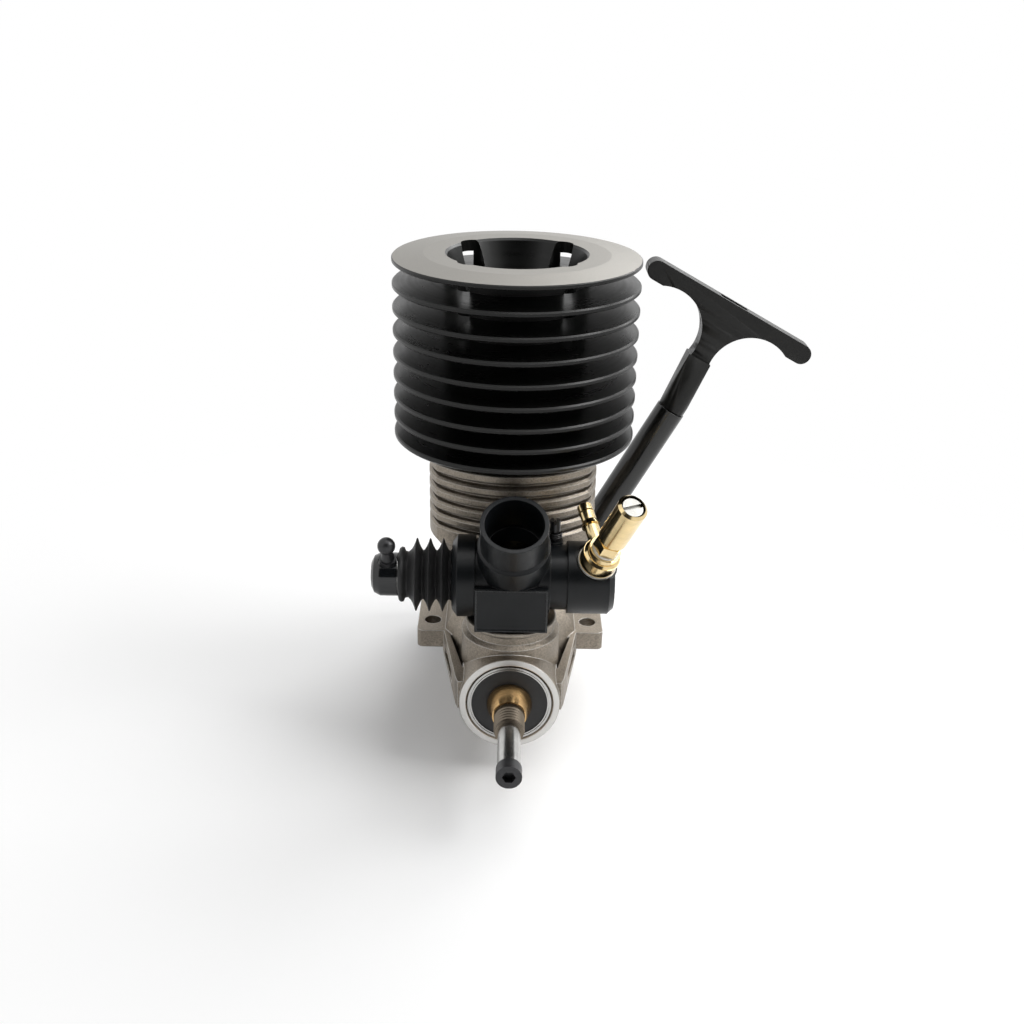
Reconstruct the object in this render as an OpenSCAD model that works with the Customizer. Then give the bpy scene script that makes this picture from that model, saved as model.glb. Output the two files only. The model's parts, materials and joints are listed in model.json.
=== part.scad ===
// Model glow engine, .21 cubic inch class, with slide carburettor and pull starter.
// The crank runs along Y with its nose towards -Y. The cylinder stands on +Z.
// The origin lies midway between the four lug holes, on the seating face of the lugs.

/* [Crank train] */
// Cylinder bore
bore_d = 16.4; // [14.5:0.1:17.4]
// Piston stroke
stroke = 16.5; // [14:0.1:17.5]
// Connecting rod length between its eyes
rod_length = 28; // [26:0.5:33]
// Thickness of the connecting rod along the crank
rod_t = 5; // [4:0.1:5.6]
// Crank pin diameter
crank_pin_d = 5; // [4:0.1:5.5]
// Outside diameter of the big end
big_end_d = 8.6; // [8:0.1:9.4]
// Wrist pin diameter
wrist_pin_d = 4.5; // [3.5:0.1:5]
// Height of the piston crown above the wrist pin
crown_height = 7.5; // [6.5:0.1:9]
// Piston skirt below the wrist pin
skirt_length = 5.5; // [4.5:0.1:6]
// Thickness of the crank web
web_t = 6; // [4.5:0.1:7]
// Metal of the crank web outside the crank pin
web_margin = 2.45; // [2:0.05:3.2]
// Wall of the cylinder sleeve
sleeve_wall = 1.7; // [1.2:0.1:2]
// Journal diameter of the crankshaft, the bore of its rear bearing
journal_d = 14; // [12:0.5:15]
// Outside diameter of the rear bearing
rear_bearing_d = 25.4; // [23:0.1:26.4]
// Width of the rear bearing
rear_bearing_w = 6; // [5:0.5:7]
// Bore of the front bearing
nose_d = 7; // [6.5:0.1:8]
// Outside diameter of the front bearing
front_bearing_d = 19; // [17:0.5:20]
// Width of the front bearing
front_bearing_w = 6; // [5:0.5:7]

/* [Crankcase] */
// Distance of the snout face from the cylinder axis
snout_y = 38; // [36:0.5:42]
// Metal around the front bearing
snout_wall = 1.9; // [1.5:0.1:3]
// Wall around the crank chamber
barrel_wall = 2.9; // [2.4:0.1:3.6]
// Distance of the rear face of the barrel from the cylinder axis
barrel_rear = 11; // [10.5:0.1:13]
// Width of the finned jacket across the crank
jacket_w = 40; // [37:0.5:44]
// Depth of the finned jacket along the crank
jacket_l = 33; // [32:0.5:40]
// Number of grooves around the jacket
groove_count = 5; // [3:1:6]
// Spacing of the grooves
groove_pitch = 3.1; // [2.6:0.1:3.2]
// Height of one groove
groove_w = 0.9; // [0.6:0.1:1.3]
// Depth of the grooves
groove_depth = 1.7; // [1:0.1:2.2]
// Distance between the lug holes across the crank
lug_span_x = 38; // [37:0.5:42]
// Distance between the lug holes along the crank
lug_span_y = 15; // [13:0.5:18]
// Diameter of the lug holes
lug_hole_d = 4; // [3:0.1:4.5]
// Thickness of the lugs
lug_t = 4.5; // [3.5:0.1:6]
// Width of lug metal outside the middle of its holes
lug_margin = 3.6; // [3:0.1:5]
// Outside diameter of the carburettor neck
neck_d = 21; // [20:0.5:23]
// Height of the rim of the carburettor neck
neck_z = 16; // [15:0.5:18]
// Distance of the exhaust face behind the cylinder axis
exhaust_y = 26; // [24:0.5:30]
// Width of the exhaust duct
exhaust_w = 16; // [12:0.5:18]
// Height of the exhaust duct
exhaust_h = 8; // [6:0.5:9]

/* [Cooling head] */
// Diameter of the cooling fins
head_d = 56.1; // [46:0.1:68]
// Number of fins, with the top plate
fin_count = 9; // [6:1:10]
// Spacing of the two lowest fins
fin_pitch = 4.55; // [3.8:0.05:5.4]
// Growth of the spacing from one pair of fins to the next
fin_growth = 0.14; // [0:0.01:0.2]
// Height of the lowest fin above the cylinder deck
first_fin = 6.3; // [5:0.1:8]
// Thickness of a fin at its rim
fin_t = 1.2; // [0.8:0.1:1.6]
// Thickness of a fin at the core
fin_root_t = 1.9; // [1.6:0.1:2.4]
// Diameter of the core inside the fins
core_d = 33; // [32:0.5:38]
// Thickness of the top plate at its rim
plate_t = 1; // [0.8:0.1:1.4]
// Rise of the top plate from its rim to its face
plate_rise = 0.7; // [0:0.1:1.5]
// Diameter of the flat face of the top plate
plate_face_d = 42; // [36:0.5:44]
// Width of the square foot of the head on the deck
foot_w = 27; // [26.4:0.1:30]
// Diameter of the mouth of the bowl
bowl_d = 31.3; // [29:0.1:32]
// Diameter of the wrench well around the glow plug
well_d = 14; // [11:0.5:15]
// Distance of the head screws from the cylinder axis, across and along
screw_offset = 10; // [9.6:0.1:10.6]
// Diameter of the wells of the head screws
screw_well_d = 6; // [5.8:0.1:6.4]
// Depth of the wells of the head screws below the bowl mouth
screw_well_depth = 18; // [12:0.5:22]
// Head diameter of the head screws
screw_head_d = 5.5; // [5:0.1:5.6]

/* [Carburettor] */
// Distance of the carburettor axis in front of the cylinder axis
carb_y = 24.3; // [23:0.1:26]
// Height of the throttle slide above the crank axis
slide_z = 25.5; // [25:0.1:28]
// Diameter of the throttle slide
slide_d = 9; // [8:0.1:10]
// Travel of the throttle slide each way
slide_travel = 3.5; // [2.5:0.1:4]
// Outside diameter of the venturi mouth
mouth_d = 15; // [14:0.1:16.5]
// Bore of the venturi mouth
mouth_bore = 13; // [11:0.1:13.4]
// Lean of the venturi towards the front
mouth_lean = 30; // [20:1:36]
// Distance of the venturi rim from the throttle slide axis
mouth_reach = 20.3; // [18:0.1:23]
// Width of the front plate
plate_w = 16.3; // [14:0.1:18]
// Height of the front plate
plate_h = 10.7; // [8:0.1:12]
// Diameter of the needle side housing
housing_d = 16.5; // [15:0.1:18]
// Distance of the end of the needle side housing from the cylinder axis
housing_x = 23; // [22:0.5:26]
// Diameter of the folds of the rubber boot
boot_d = 16.7; // [14:0.1:18]
// Length of the rubber boot
boot_l = 12.3; // [10:0.1:15]
// Number of folds in the boot
fold_count = 3; // [2:1:4]
// Diameter of the throttle end cap
cap_d = 9.9; // [8:0.1:11]
// Length of the throttle end cap
cap_l = 6; // [5:0.1:8]
// Diameter of the throttle ball
ball_d = 4; // [3.4:0.1:4.8]
// Diameter of the brass needle housing
needle_tube_d = 6.6; // [6:0.1:7.5]
// Height of the top of the needle housing above the slide axis, along the needle
needle_reach = 29; // [26:0.5:32]
// Outside diameter of the fuel nipple barb
barb_d = 4; // [3:0.1:4.6]
// Length of the fuel nipple from the needle axis
nipple_l = 13.1; // [11:0.1:16]

/* [Starter] */
// Pitch radius of the cord on its spool
spool_r = 13.5; // [11.5:0.1:14.5]
// Diameter of the pull cord
cord_d = 1.8; // [1.4:0.1:2.2]
// Distance of the cord behind the cylinder axis
cord_y = 31; // [29:0.5:34]
// Lean of the guide tube from upright
pull_lean = 28.7; // [20:0.1:40]
// Length of the guide tube from where the cord leaves the spool
tube_end = 61; // [46:0.5:73]
// Outside diameter of the guide tube
tube_d = 7.7; // [6.6:0.1:9]
// Wall of the starter case
starter_wall = 1.8; // [1.4:0.1:2.6]
// Height of the pull handle
handle_h = 31.6; // [26:0.1:38]
// Length of the bar of the pull handle
handle_w = 48.4; // [40:0.1:58]
// Thickness of the pull handle
handle_t = 5; // [4.4:0.1:6]

/* [Fits] */
// Clearance of a turning or sliding fit, on the radius
run_fit = 0.05; // [0.02:0.01:0.1]
// Clearance of a part that is assembled and stays, on the radius
seat_fit = 0.05; // [0.02:0.01:0.1]
// Clearance between moving parts that never touch
air_gap = 0.3; // [0.2:0.05:0.5]

/* [Hidden] */
$fn = 48;
cut = 1;

// Colours
cast_grey = "#a9a195";
steel = "#b9bcc0";
dark_steel = "#55585c";
brass = "#c9a25a";
black_part = "#1d1e20";
rubber_black = "#26282b";

// Crank train
crank_r = stroke / 2;
swing = asin(crank_r / rod_length);
wrist_z = crank_r + rod_length;
crown_z = wrist_z + crown_height;
squish = 0.4;
spigot_depth = 2.45;
deck_z = crown_z + squish + spigot_depth;
web_r = crank_r + crank_pin_d / 2 + web_margin;
chamber_r = web_r + air_gap;
barrel_r = chamber_r + barrel_wall;
rod_side_gap = 0.9;
web_face_y = -(rod_t / 2 + rod_side_gap);
web_back_y = web_face_y - web_t;
// Distance of the crank pin from the crank axis with the rod fully aside at bottom dead centre
bottom_reach = sqrt(pow(crank_r, 2) + pow(rod_length - crank_r - rod_length * cos(swing), 2));
relief_r = bottom_reach + big_end_d / 2 + 0.17;
pin_end_y = rod_t / 2 + 2.3;
gas_bore_d = journal_d * 0.62;
rear_bearing_y = web_back_y - 0.4;
shoulder_t = 0.5;
front_bearing_y = -snout_y + 0.2;

// Cylinder
piston_d = bore_d - 2 * run_fit;
sleeve_d = bore_d + 2 * sleeve_wall;
flange_d = sleeve_d + 2.8;
flange_t = 1.5;
sleeve_bottom = deck_z - 29.6;
gasket_t = 0.2;
button_t = 3;
button_top = deck_z + gasket_t + button_t;
port_z = crown_z - stroke;
plug_tip_z = deck_z - spigot_depth + 1.25;

// Jacket
jacket_r = jacket_w / 2;
front_arc_r = 25;
front_arc_y = front_arc_r - jacket_l / 2;
deck_flange_t = 2.2;
jacket_bottom = deck_z - deck_flange_t - (groove_count + 0.5) * groove_pitch - 1;

// Cooling head
head_r = head_d / 2;
core_r = core_d / 2;
fin_low_z = deck_z + first_fin - (fin_t + fin_root_t) / 2;
plate_z = fin_z(fin_count - 1);
head_top = plate_z + plate_rise;
screw_seat_z = head_top - screw_well_depth;
plug_seat_z = button_top + 2.3;
screw_bite = 9;

// Crankcase
snout_r = front_bearing_d / 2 + snout_wall;
seal_d = front_bearing_d - 1.8;
seal_bore = nose_d + 3.1;
seal_depth = 0.75;
neck_bore_d = neck_d - 4;
stem_d = neck_bore_d - 2 * seat_fit;
stem_bottom = max(journal_d, front_bearing_d) / 2 + 0.3;
pinch_y = -carb_y + neck_bore_d / 2 + 0.9;
pinch_z = rear_bearing_d / 2 + 3;
pinch_w = 19;
lug_outer = lug_span_x / 2 + lug_margin;
lug_end = lug_span_y / 2 + 5.5;

// Carburettor
guide_x = -8.2;
guide_l = 5.2;
boot_x = guide_x - guide_l;
cap_x = boot_x - boot_l;
needle_foot_x = 17.2;
needle_tilt = 34;
needle_turn = -60.5;
nipple_turn = 171.5;
mouth_x = 0.4;
idle_x = 9.65;
idle_y = -carb_y + 2.5;
idle_top = slide_z + housing_d / 2;
slide_end_x = 6.4;
throttle_bore_x = slide_end_x + slide_travel + 2.7;
block_z = neck_z + 0.4;
banjo_low = 6.8;
banjo_h = 5.4;
banjo_d = 8.6;
washer_t = 0.6;

// Starter
spool_half_w = 4;
case_inner_r = spool_r + cord_d / 2 + 1.9;
backplate_screw_r = max(case_inner_r + 1.9, chamber_r + 2.9);
backplate_screw_xy = backplate_screw_r / sqrt(2);
case_r = case_inner_r + starter_wall;
plate_front_y = barrel_rear;
backplate_t = 3.6;
case_front_y = plate_front_y + backplate_t;
case_rear_y = cord_y + spool_half_w + air_gap + starter_wall;
shaft_d = 6;
clutch_d = 10;
handle_low = tube_end + 0.3;
handle_x = -1.4;

// Turns the local Z axis to +Y, starting at y.
module along_y(y) {
    translate([0, y, 0]) rotate([-90, 0, 0]) children();
}

// Turns the local Z axis to +X, starting at x on the throttle slide axis.
module along_slide(x) {
    translate([x, -carb_y, slide_z]) rotate([0, 90, 0]) children();
}

// Local Z runs up the needle, from its foot on the throttle slide axis.
module along_needle(h) {
    translate([needle_foot_x, -carb_y, slide_z])
        rotate([0, needle_tilt, needle_turn]) translate([0, 0, h]) children();
}

// Local Z runs up the venturi, from the throttle slide axis.
module along_venturi(h) {
    translate([mouth_x, -carb_y, slide_z]) rotate([mouth_lean, 0, 0]) translate([0, 0, h]) children();
}

// Local Z runs along the pulled cord, from where it leaves the spool. Local Y is the frame's own.
module along_pull(s) {
    translate([0, cord_y, 0]) rotate([0, pull_lean, 0]) translate([spool_r, 0, s]) children();
}

module ring(outer, inner, h) {
    difference() {
        cylinder(d = outer, h = h);
        translate([0, 0, -cut]) cylinder(d = inner, h = h + 2 * cut);
    }
}

module head_screw_places() {
    for (sx = [-1, 1], sy = [-1, 1]) translate([sx * screw_offset, sy * screw_offset, 0]) children();
}

module backplate_screw_places() {
    for (sx = [-1, 1], sz = [-1, 1])
        translate([sx * backplate_screw_xy, 0, sz * backplate_screw_xy]) rotate([-90, 0, 0]) children();
}

// One turned outline of the jacket, with its grooves, for an arc of radius r.
module jacket_turning(r) {
    c = 0.5;
    bands = [for (i = [groove_count - 1:-1:0])
        let (g = deck_z - deck_flange_t - i * groove_pitch)
        each [[r - c, g - groove_w], [r - groove_depth, g - groove_w + 0.1],
              [r - groove_depth, g - 0.1], [r - c, g], [r, g + c],
              [r, g + (i == 0 ? deck_flange_t - 0.3 : groove_pitch - groove_w - c)]]];
    rotate_extrude() polygon(concat(
        [[0, jacket_bottom - 9], [r - 7.5, jacket_bottom - 9], [r - 4.6, jacket_bottom - 4.5],
         [r - 1.6, jacket_bottom - 1.2], [r, jacket_bottom + 1],
         [r, deck_z - deck_flange_t - (groove_count - 1) * groove_pitch - groove_w - c]],
        bands, [[r - 0.3, deck_z], [0, deck_z]]));
}

module jacket() {
    intersection() {
        jacket_turning(jacket_r);
        translate([0, front_arc_y, 0]) jacket_turning(front_arc_r);
        translate([0, -front_arc_y, 0]) jacket_turning(front_arc_r);
    }
}

// Snout and barrel, turned around the crank axis.
module barrel_outside() {
    along_y(0) rotate_extrude() polygon([
        [0, -snout_y], [snout_r - 0.2, -snout_y], [snout_r, -snout_y + 0.2], [snout_r, -snout_y + 8],
        [snout_r + 1.2, -20], [barrel_r - 1.5, web_back_y - 5], [barrel_r, web_back_y - 2.5],
        [barrel_r, barrel_rear - 0.5], [barrel_r - 0.5, barrel_rear], [0, barrel_rear]]);
}

// Side webs that tie the snout to the lugs, with a pocket above and one outside.
module snout_webs() {
    for (s = [-1, 1]) difference() {
        translate([0, 0, -2.5]) linear_extrude(7) polygon([
            [0, -snout_y + 2], [s * (snout_r + 0.4), -snout_y + 2], [s * (snout_r + 1), -snout_y + 4],
            [s * (barrel_r - 0.2), -12], [s * barrel_r, 0], [0, 0]]);
        translate([0, 0, -1.5]) linear_extrude(7) polygon([
            [s * (snout_r - 0.5), -30], [s * (barrel_r - 2), -15], [s * (snout_r - 1), -15]]);
        translate([0, 0, -1.3]) linear_extrude(3) polygon([
            [s * (snout_r + 2), -28], [s * (barrel_r + 2), -lug_end - 0.5],
            [s * (barrel_r - 2), -lug_end - 0.5]]);
    }
}

module lug_plate() {
    r = 1.5;
    for (s = [-1, 1]) linear_extrude(lug_t) difference() {
        union() {
            translate([s * (lug_outer / 2), 0]) square([lug_outer, 2 * (lug_end - r)], center = true);
            translate([s * (lug_outer - r) / 2, 0]) square([lug_outer - r, 2 * lug_end], center = true);
            for (y = [-1, 1]) translate([s * (lug_outer - r), y * (lug_end - r)]) circle(r);
        }
        for (y = [-1, 1]) translate([s * lug_span_x / 2, y * lug_span_y / 2]) circle(d = lug_hole_d);
    }
}

exhaust_z = port_z + exhaust_h / 2 + 0.4;
exhaust_flange_w = exhaust_w + 7;
exhaust_flange_h = exhaust_h + 5;

module exhaust_stub() {
    translate([0, (exhaust_y - 3) / 2, exhaust_z])
        cube([exhaust_w + 4, exhaust_y - 3, exhaust_h + 3.6], center = true);
    translate([0, exhaust_y - 3, exhaust_z]) rotate([-90, 0, 0]) linear_extrude(3) union() {
        square([exhaust_flange_w, exhaust_flange_h - 3], center = true);
        square([exhaust_flange_w - 3, exhaust_flange_h], center = true);
        for (x = [-1, 1], z = [-1, 1])
            translate([x * (exhaust_flange_w - 3) / 2, z * (exhaust_flange_h - 3) / 2]) circle(1.5);
    }
}

// Middle of the bolt that holds the carburettor stem, above the rear bearing.
module at_pinch() {
    translate([0, pinch_y, pinch_z]) rotate([0, 90, 0]) children();
}

module crankcase() color(cast_grey) difference() {
    union() {
        barrel_outside();
        snout_webs();
        lug_plate();
        jacket();
        exhaust_stub();
        at_pinch() cylinder(r = 3.2, h = pinch_w, center = true);
        translate([0, -carb_y, 0]) rotate_extrude() polygon([
            [0, 2], [neck_d / 2 + 0.8, 2], [neck_d / 2 + 0.8, neck_z - 3.7], [neck_d / 2 - 0.4, neck_z - 2.9],
            [neck_d / 2 - 0.4, neck_z - 1.2], [neck_d / 2, neck_z - 0.8], [neck_d / 2, neck_z - 0.3],
            [neck_d / 2 - 0.3, neck_z], [0, neck_z]]);
        cylinder(r = barrel_r - 1.6, h = jacket_bottom);
        backplate_screw_places() translate([0, 0, barrel_rear - 9]) cylinder(r = 3, h = 9);
    }
    // Seat of the starter backplate
    translate([-case_r - air_gap, barrel_rear, -2 * case_r])
        cube([2 * (case_r + air_gap), 20, 3 * case_r + air_gap]);
    // Crank chamber, with the path of the big end
    along_y(web_back_y - 0.2) cylinder(r = chamber_r, h = barrel_rear - web_back_y + cut);
    along_y(-rod_t / 2 - 0.4) cylinder(r = relief_r, h = rod_t + 0.8);
    // Bearing seats and shaft bore
    along_y(rear_bearing_y - rear_bearing_w) cylinder(d = rear_bearing_d + 2 * seat_fit,
                                                      h = rear_bearing_w + cut);
    along_y(-snout_y) cylinder(d = journal_d + 2 * run_fit, h = snout_y);
    along_y(-snout_y - cut) cylinder(d = front_bearing_d + 2 * seat_fit,
                                     h = front_bearing_w + 0.2 + cut);
    along_y(-snout_y - 0.02) cylinder(d1 = front_bearing_d + 1.14, d2 = front_bearing_d, h = 0.57);
    // Carburettor neck and its window into the shaft bore
    translate([0, -carb_y, stem_bottom]) cylinder(d = neck_bore_d, h = neck_z);
    translate([0, -carb_y, stem_bottom - 3]) cube([9, 10, 8], center = true);
    // Cylinder bore, its flange seat and the transfer passages
    translate([0, 0, sleeve_bottom - 8]) cylinder(d = sleeve_d + 2 * seat_fit, h = deck_z);
    translate([0, 0, deck_z - flange_t]) cylinder(d = flange_d + 2 * seat_fit, h = flange_t + cut);
    translate([0, 0, (port_z + 4) / 2 + 2.5]) cube([sleeve_d + 6.2, rod_t + 5, port_z - 1], center = true);
    translate([0, -sleeve_d / 4, port_z - 1]) cube([8, sleeve_d / 2 + 5, 9], center = true);
    // Exhaust duct
    translate([0, exhaust_y / 2 + 5, exhaust_z]) cube([exhaust_w, exhaust_y, exhaust_h], center = true);
    // Threaded holes for the head, the backplate and the carburettor
    head_screw_places() translate([0, 0, deck_z - screw_bite - 1]) cylinder(d = 3, h = screw_bite + 1 + cut);
    backplate_screw_places() translate([0, 0, barrel_rear - 7]) cylinder(d = 2.6, h = 7 + cut);
    at_pinch() cylinder(d = 3 + 2 * seat_fit, h = 2 * pinch_w, center = true);
}

module cylinder_sleeve() color(brass) difference() {
    union() {
        translate([0, 0, sleeve_bottom]) cylinder(d = sleeve_d, h = deck_z - sleeve_bottom);
        translate([0, 0, deck_z - flange_t]) cylinder(d = flange_d, h = flange_t);
    }
    translate([0, 0, sleeve_bottom - cut]) cylinder(d = bore_d, h = deck_z);
    // Exhaust port, transfer ports, boost port and the notches that the rod swings into
    translate([0, sleeve_d / 2, port_z + 3.4]) cube([exhaust_w - 4.5, sleeve_d, 6.8], center = true);
    for (s = [-1, 1]) translate([s * sleeve_d / 2, 0, port_z + 1.7]) cube([6, rod_t + 3, 3.4], center = true);
    translate([0, -sleeve_d / 2, port_z + 1.7]) cube([6, 6, 3.4], center = true);
    translate([0, 0, sleeve_bottom]) cube([sleeve_d + 2, rod_t + 1.4, 12], center = true);
}

// Height of the top of each fin's rim. The spacing grows a little from fin to fin.
function fin_z(i) = deck_z + first_fin + i * fin_pitch + fin_growth * i * (i - 1) / 2;

// Outline of the fins below the top plate.
function fin_outline() = [for (i = [0:fin_count - 2])
    let (z = fin_z(i), c = 0.3)
    each [[core_r, z - (fin_t + fin_root_t) / 2], [head_r - c, z - fin_t], [head_r, z - fin_t + c],
          [head_r, z - c], [head_r - c, z], [core_r, z + (fin_root_t - fin_t) / 2]]];

// Square foot with round corners, which stands on the deck and holds the four screws.
module head_foot() {
    r = 4;
    translate([0, 0, deck_z]) linear_extrude(fin_low_z - deck_z + 0.5) {
        square([foot_w, foot_w - 2 * r], center = true);
        square([foot_w - 2 * r, foot_w], center = true);
        for (x = [-1, 1], y = [-1, 1]) translate([x * (foot_w / 2 - r), y * (foot_w / 2 - r)]) circle(r);
    }
}

module cooling_head() color(black_part) difference() {
    union() {
        rotate_extrude() polygon(concat([[0, fin_low_z]], fin_outline(), [
            [core_r, plate_z - plate_t - 0.9], [head_r - 0.2, plate_z - plate_t],
            [head_r, plate_z - plate_t + 0.2], [head_r, plate_z - 0.2], [head_r - 0.2, plate_z],
            [plate_face_d / 2, head_top], [0, head_top]]));
        head_foot();
    }
    // Seat of the button, plug well and bowl
    rotate_extrude() polygon([
        [0, deck_z - cut], [flange_d / 2 + 0.6, deck_z - cut], [flange_d / 2 + 0.6, button_top + 0.1],
        [5.6, button_top + 0.1], [5.6, plug_seat_z - 1], [well_d / 2, plug_seat_z - 1],
        [well_d / 2, screw_seat_z - 9], [well_d / 2 + 1, screw_seat_z - 5],
        [well_d / 2 + 4.2, head_top - 12], [bowl_d / 2, head_top - 0.5],
        [bowl_d / 2 + 0.5, head_top], [bowl_d / 2 + 0.5, head_top + cut], [0, head_top + cut]]);
    head_screw_places() {
        translate([0, 0, screw_seat_z]) cylinder(d = screw_well_d, h = screw_well_depth + cut);
        translate([0, 0, deck_z - cut]) cylinder(d = 3.2, h = screw_seat_z - deck_z + 2 * cut);
    }
}

module head_button() color(brass) difference() {
    union() {
        translate([0, 0, deck_z - spigot_depth]) cylinder(d = bore_d - 0.3, h = spigot_depth + 1);
        translate([0, 0, deck_z + gasket_t]) cylinder(d = flange_d, h = button_t);
        translate([0, 0, deck_z + gasket_t]) cylinder(d = 10.8, h = plug_seat_z - deck_z - gasket_t);
    }
    translate([0, 0, deck_z - spigot_depth - 3.2]) sphere(d = 11.5);
    translate([0, 0, deck_z - spigot_depth - cut]) cylinder(d = 6.35, h = 20);
}

module head_gasket() color(steel) translate([0, 0, deck_z]) ring(flange_d - 0.2, bore_d, gasket_t);

module cap_screw(thread_d, length, head_dia, head_h, key) {
    difference() {
        union() {
            translate([0, 0, -length]) cylinder(d = thread_d, h = length);
            cylinder(d = head_dia, h = head_h);
        }
        translate([0, 0, head_h - head_h * 0.55]) cylinder(d = key / cos(30), h = head_h, $fn = 6);
    }
}

module head_screws() color(dark_steel) head_screw_places()
    translate([0, 0, screw_seat_z]) cap_screw(2.96, screw_seat_z - deck_z + screw_bite, screw_head_d, 3, 2.5);

module plug_washer() color(brass) translate([0, 0, plug_seat_z]) ring(9.6, 6.5, 0.4);

module glow_plug() color(steel) difference() {
    union() {
        translate([0, 0, plug_tip_z]) cylinder(d = 6.3, h = plug_seat_z - plug_tip_z + 0.6);
        translate([0, 0, plug_seat_z + 0.4]) cylinder(d = 9, h = 0.7);
        translate([0, 0, plug_seat_z + 1.1]) cylinder(d = 8 / cos(30), h = 3.4, $fn = 6);
        translate([0, 0, plug_seat_z + 4.5]) cylinder(d = 5.2, h = 1.2);
    }
    translate([0, 0, plug_seat_z + 2.5]) cylinder(d = 2.6, h = 5);
    translate([0, 0, plug_tip_z - cut]) cylinder(d = 3.6, h = 3);
}

module glow_plug_terminal() color(steel) {
    translate([0, 0, plug_seat_z + 2.6]) cylinder(d = 2.4, h = 4);
    translate([0, 0, plug_seat_z + 6.6]) cylinder(d = 3.2, h = 1.6);
    translate([0, 0, plug_seat_z + 8.2]) cylinder(d1 = 3.2, d2 = 2.2, h = 0.6);
}

// Bearing rings, balls and cage. h is the width, pitch is the diameter of the ball circle.
function ball_dia(outer, inner) = (outer - inner) * 0.24;

module race_ring(outer, inner, h, pitch, ball) difference() {
    ring(outer, inner, h);
    translate([0, 0, h / 2]) rotate_extrude() translate([pitch / 2, 0]) circle(d = ball + 0.2);
}

module bearing_outer(outer, inner, h) {
    pitch = (outer + inner) / 2;
    race_ring(outer, pitch + ball_dia(outer, inner) * 0.5, h, pitch, ball_dia(outer, inner));
}

module bearing_inner(outer, inner, h) {
    pitch = (outer + inner) / 2;
    race_ring(pitch - ball_dia(outer, inner) * 0.5, inner, h, pitch, ball_dia(outer, inner));
}

module bearing_balls(outer, inner, h, count) {
    pitch = (outer + inner) / 2;
    ball = ball_dia(outer, inner);
    for (i = [0:count - 1]) rotate([0, 0, i * 360 / count]) translate([pitch / 2, 0, h / 2]) sphere(d = ball);
    difference() {
        translate([0, 0, h / 2 - 0.9]) ring(pitch + 1, pitch - 1, 1.8);
        for (i = [0:count - 1]) rotate([0, 0, i * 360 / count])
            translate([pitch / 2, 0, h / 2]) sphere(d = ball + 0.1);
    }
}

module front_bearing_outer() color(steel) along_y(front_bearing_y) difference() {
    bearing_outer(front_bearing_d, nose_d, front_bearing_w);
    translate([0, 0, -cut]) cylinder(d = seal_d, h = seal_depth + cut);
    translate([0, 0, -cut]) ring(seal_d + 0.9, seal_d + 0.5, cut + 0.35);
}
module front_bearing_inner() color(steel) along_y(front_bearing_y) difference() {
    bearing_inner(front_bearing_d, nose_d, front_bearing_w);
    translate([0, 0, -cut]) ring(seal_d, seal_bore - 0.2, seal_depth + 0.1 + cut);
}
module front_bearing_balls() color(steel) along_y(front_bearing_y)
    bearing_balls(front_bearing_d, nose_d, front_bearing_w, 7);
module front_bearing_seal() color(rubber_black) along_y(front_bearing_y + seal_depth - 0.5)
    ring(seal_d - 0.04, seal_bore, 0.5);
module rear_bearing_outer() color(steel) along_y(rear_bearing_y - rear_bearing_w)
    bearing_outer(rear_bearing_d, journal_d, rear_bearing_w);
module rear_bearing_inner() color(steel) along_y(rear_bearing_y - rear_bearing_w)
    bearing_inner(rear_bearing_d, journal_d, rear_bearing_w);
module rear_bearing_balls() color(steel) along_y(rear_bearing_y - rear_bearing_w)
    bearing_balls(rear_bearing_d, journal_d, rear_bearing_w, 11);

collet_y = front_bearing_y;
collet_l = 5.2;
thread_y = collet_y - collet_l - 0.2;
thread_d = 6.35;
thread_l = 6;
pilot_d = 5;
pilot_l = 13.2;
pilot_tip_y = thread_y - thread_l - pilot_l;

module crankshaft() color(steel) difference() {
    union() {
        along_y(web_back_y) intersection() {
            cylinder(r = web_r, h = web_t);
            union() {
                translate([0, -crank_r, 0]) cylinder(r = crank_pin_d / 2 + web_margin, h = web_t);
                translate([0, -crank_r / 2, web_t / 2])
                    cube([crank_pin_d + 2 * web_margin, crank_r, web_t], center = true);
                cylinder(r = journal_d / 2 + 1.2, h = web_t);
                translate([-web_r, 1, 0]) cube([2 * web_r, web_r, web_t]);
            }
        }
        along_y(rear_bearing_y - rear_bearing_w - 16) cylinder(d = journal_d - 2 * run_fit, h = 17);
        along_y(front_bearing_y + front_bearing_w)
            cylinder(d = journal_d - 2 * run_fit, h = rear_bearing_y - front_bearing_y - front_bearing_w);
        along_y(rear_bearing_y) cylinder(d = journal_d + 1, h = web_back_y - rear_bearing_y + 0.1);
        along_y(thread_y)
            cylinder(d = nose_d - 2 * seat_fit, h = -thread_y + front_bearing_y + front_bearing_w);
        along_y(thread_y - thread_l) cylinder(d = thread_d, h = thread_l + cut);
        for (i = [0:4]) along_y(thread_y - thread_l + 0.7 + i) rotate_extrude()
            polygon([[2, 0], [thread_d / 2, 0], [thread_d / 2 + 0.25, 0.25], [thread_d / 2, 0.5], [2, 0.5]]);
        along_y(pilot_tip_y) cylinder(d = pilot_d, h = pilot_l + cut);
    }
    // Gas passage with its window under the carburettor
    along_y(-carb_y - 5.5) cylinder(d = gas_bore_d, h = carb_y + 5);
    translate([0, -carb_y, journal_d / 2]) cube([journal_d * 0.6, 9, journal_d], center = true);
    along_y(pilot_tip_y - cut) cylinder(d = 3, h = 9);
}

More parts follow.
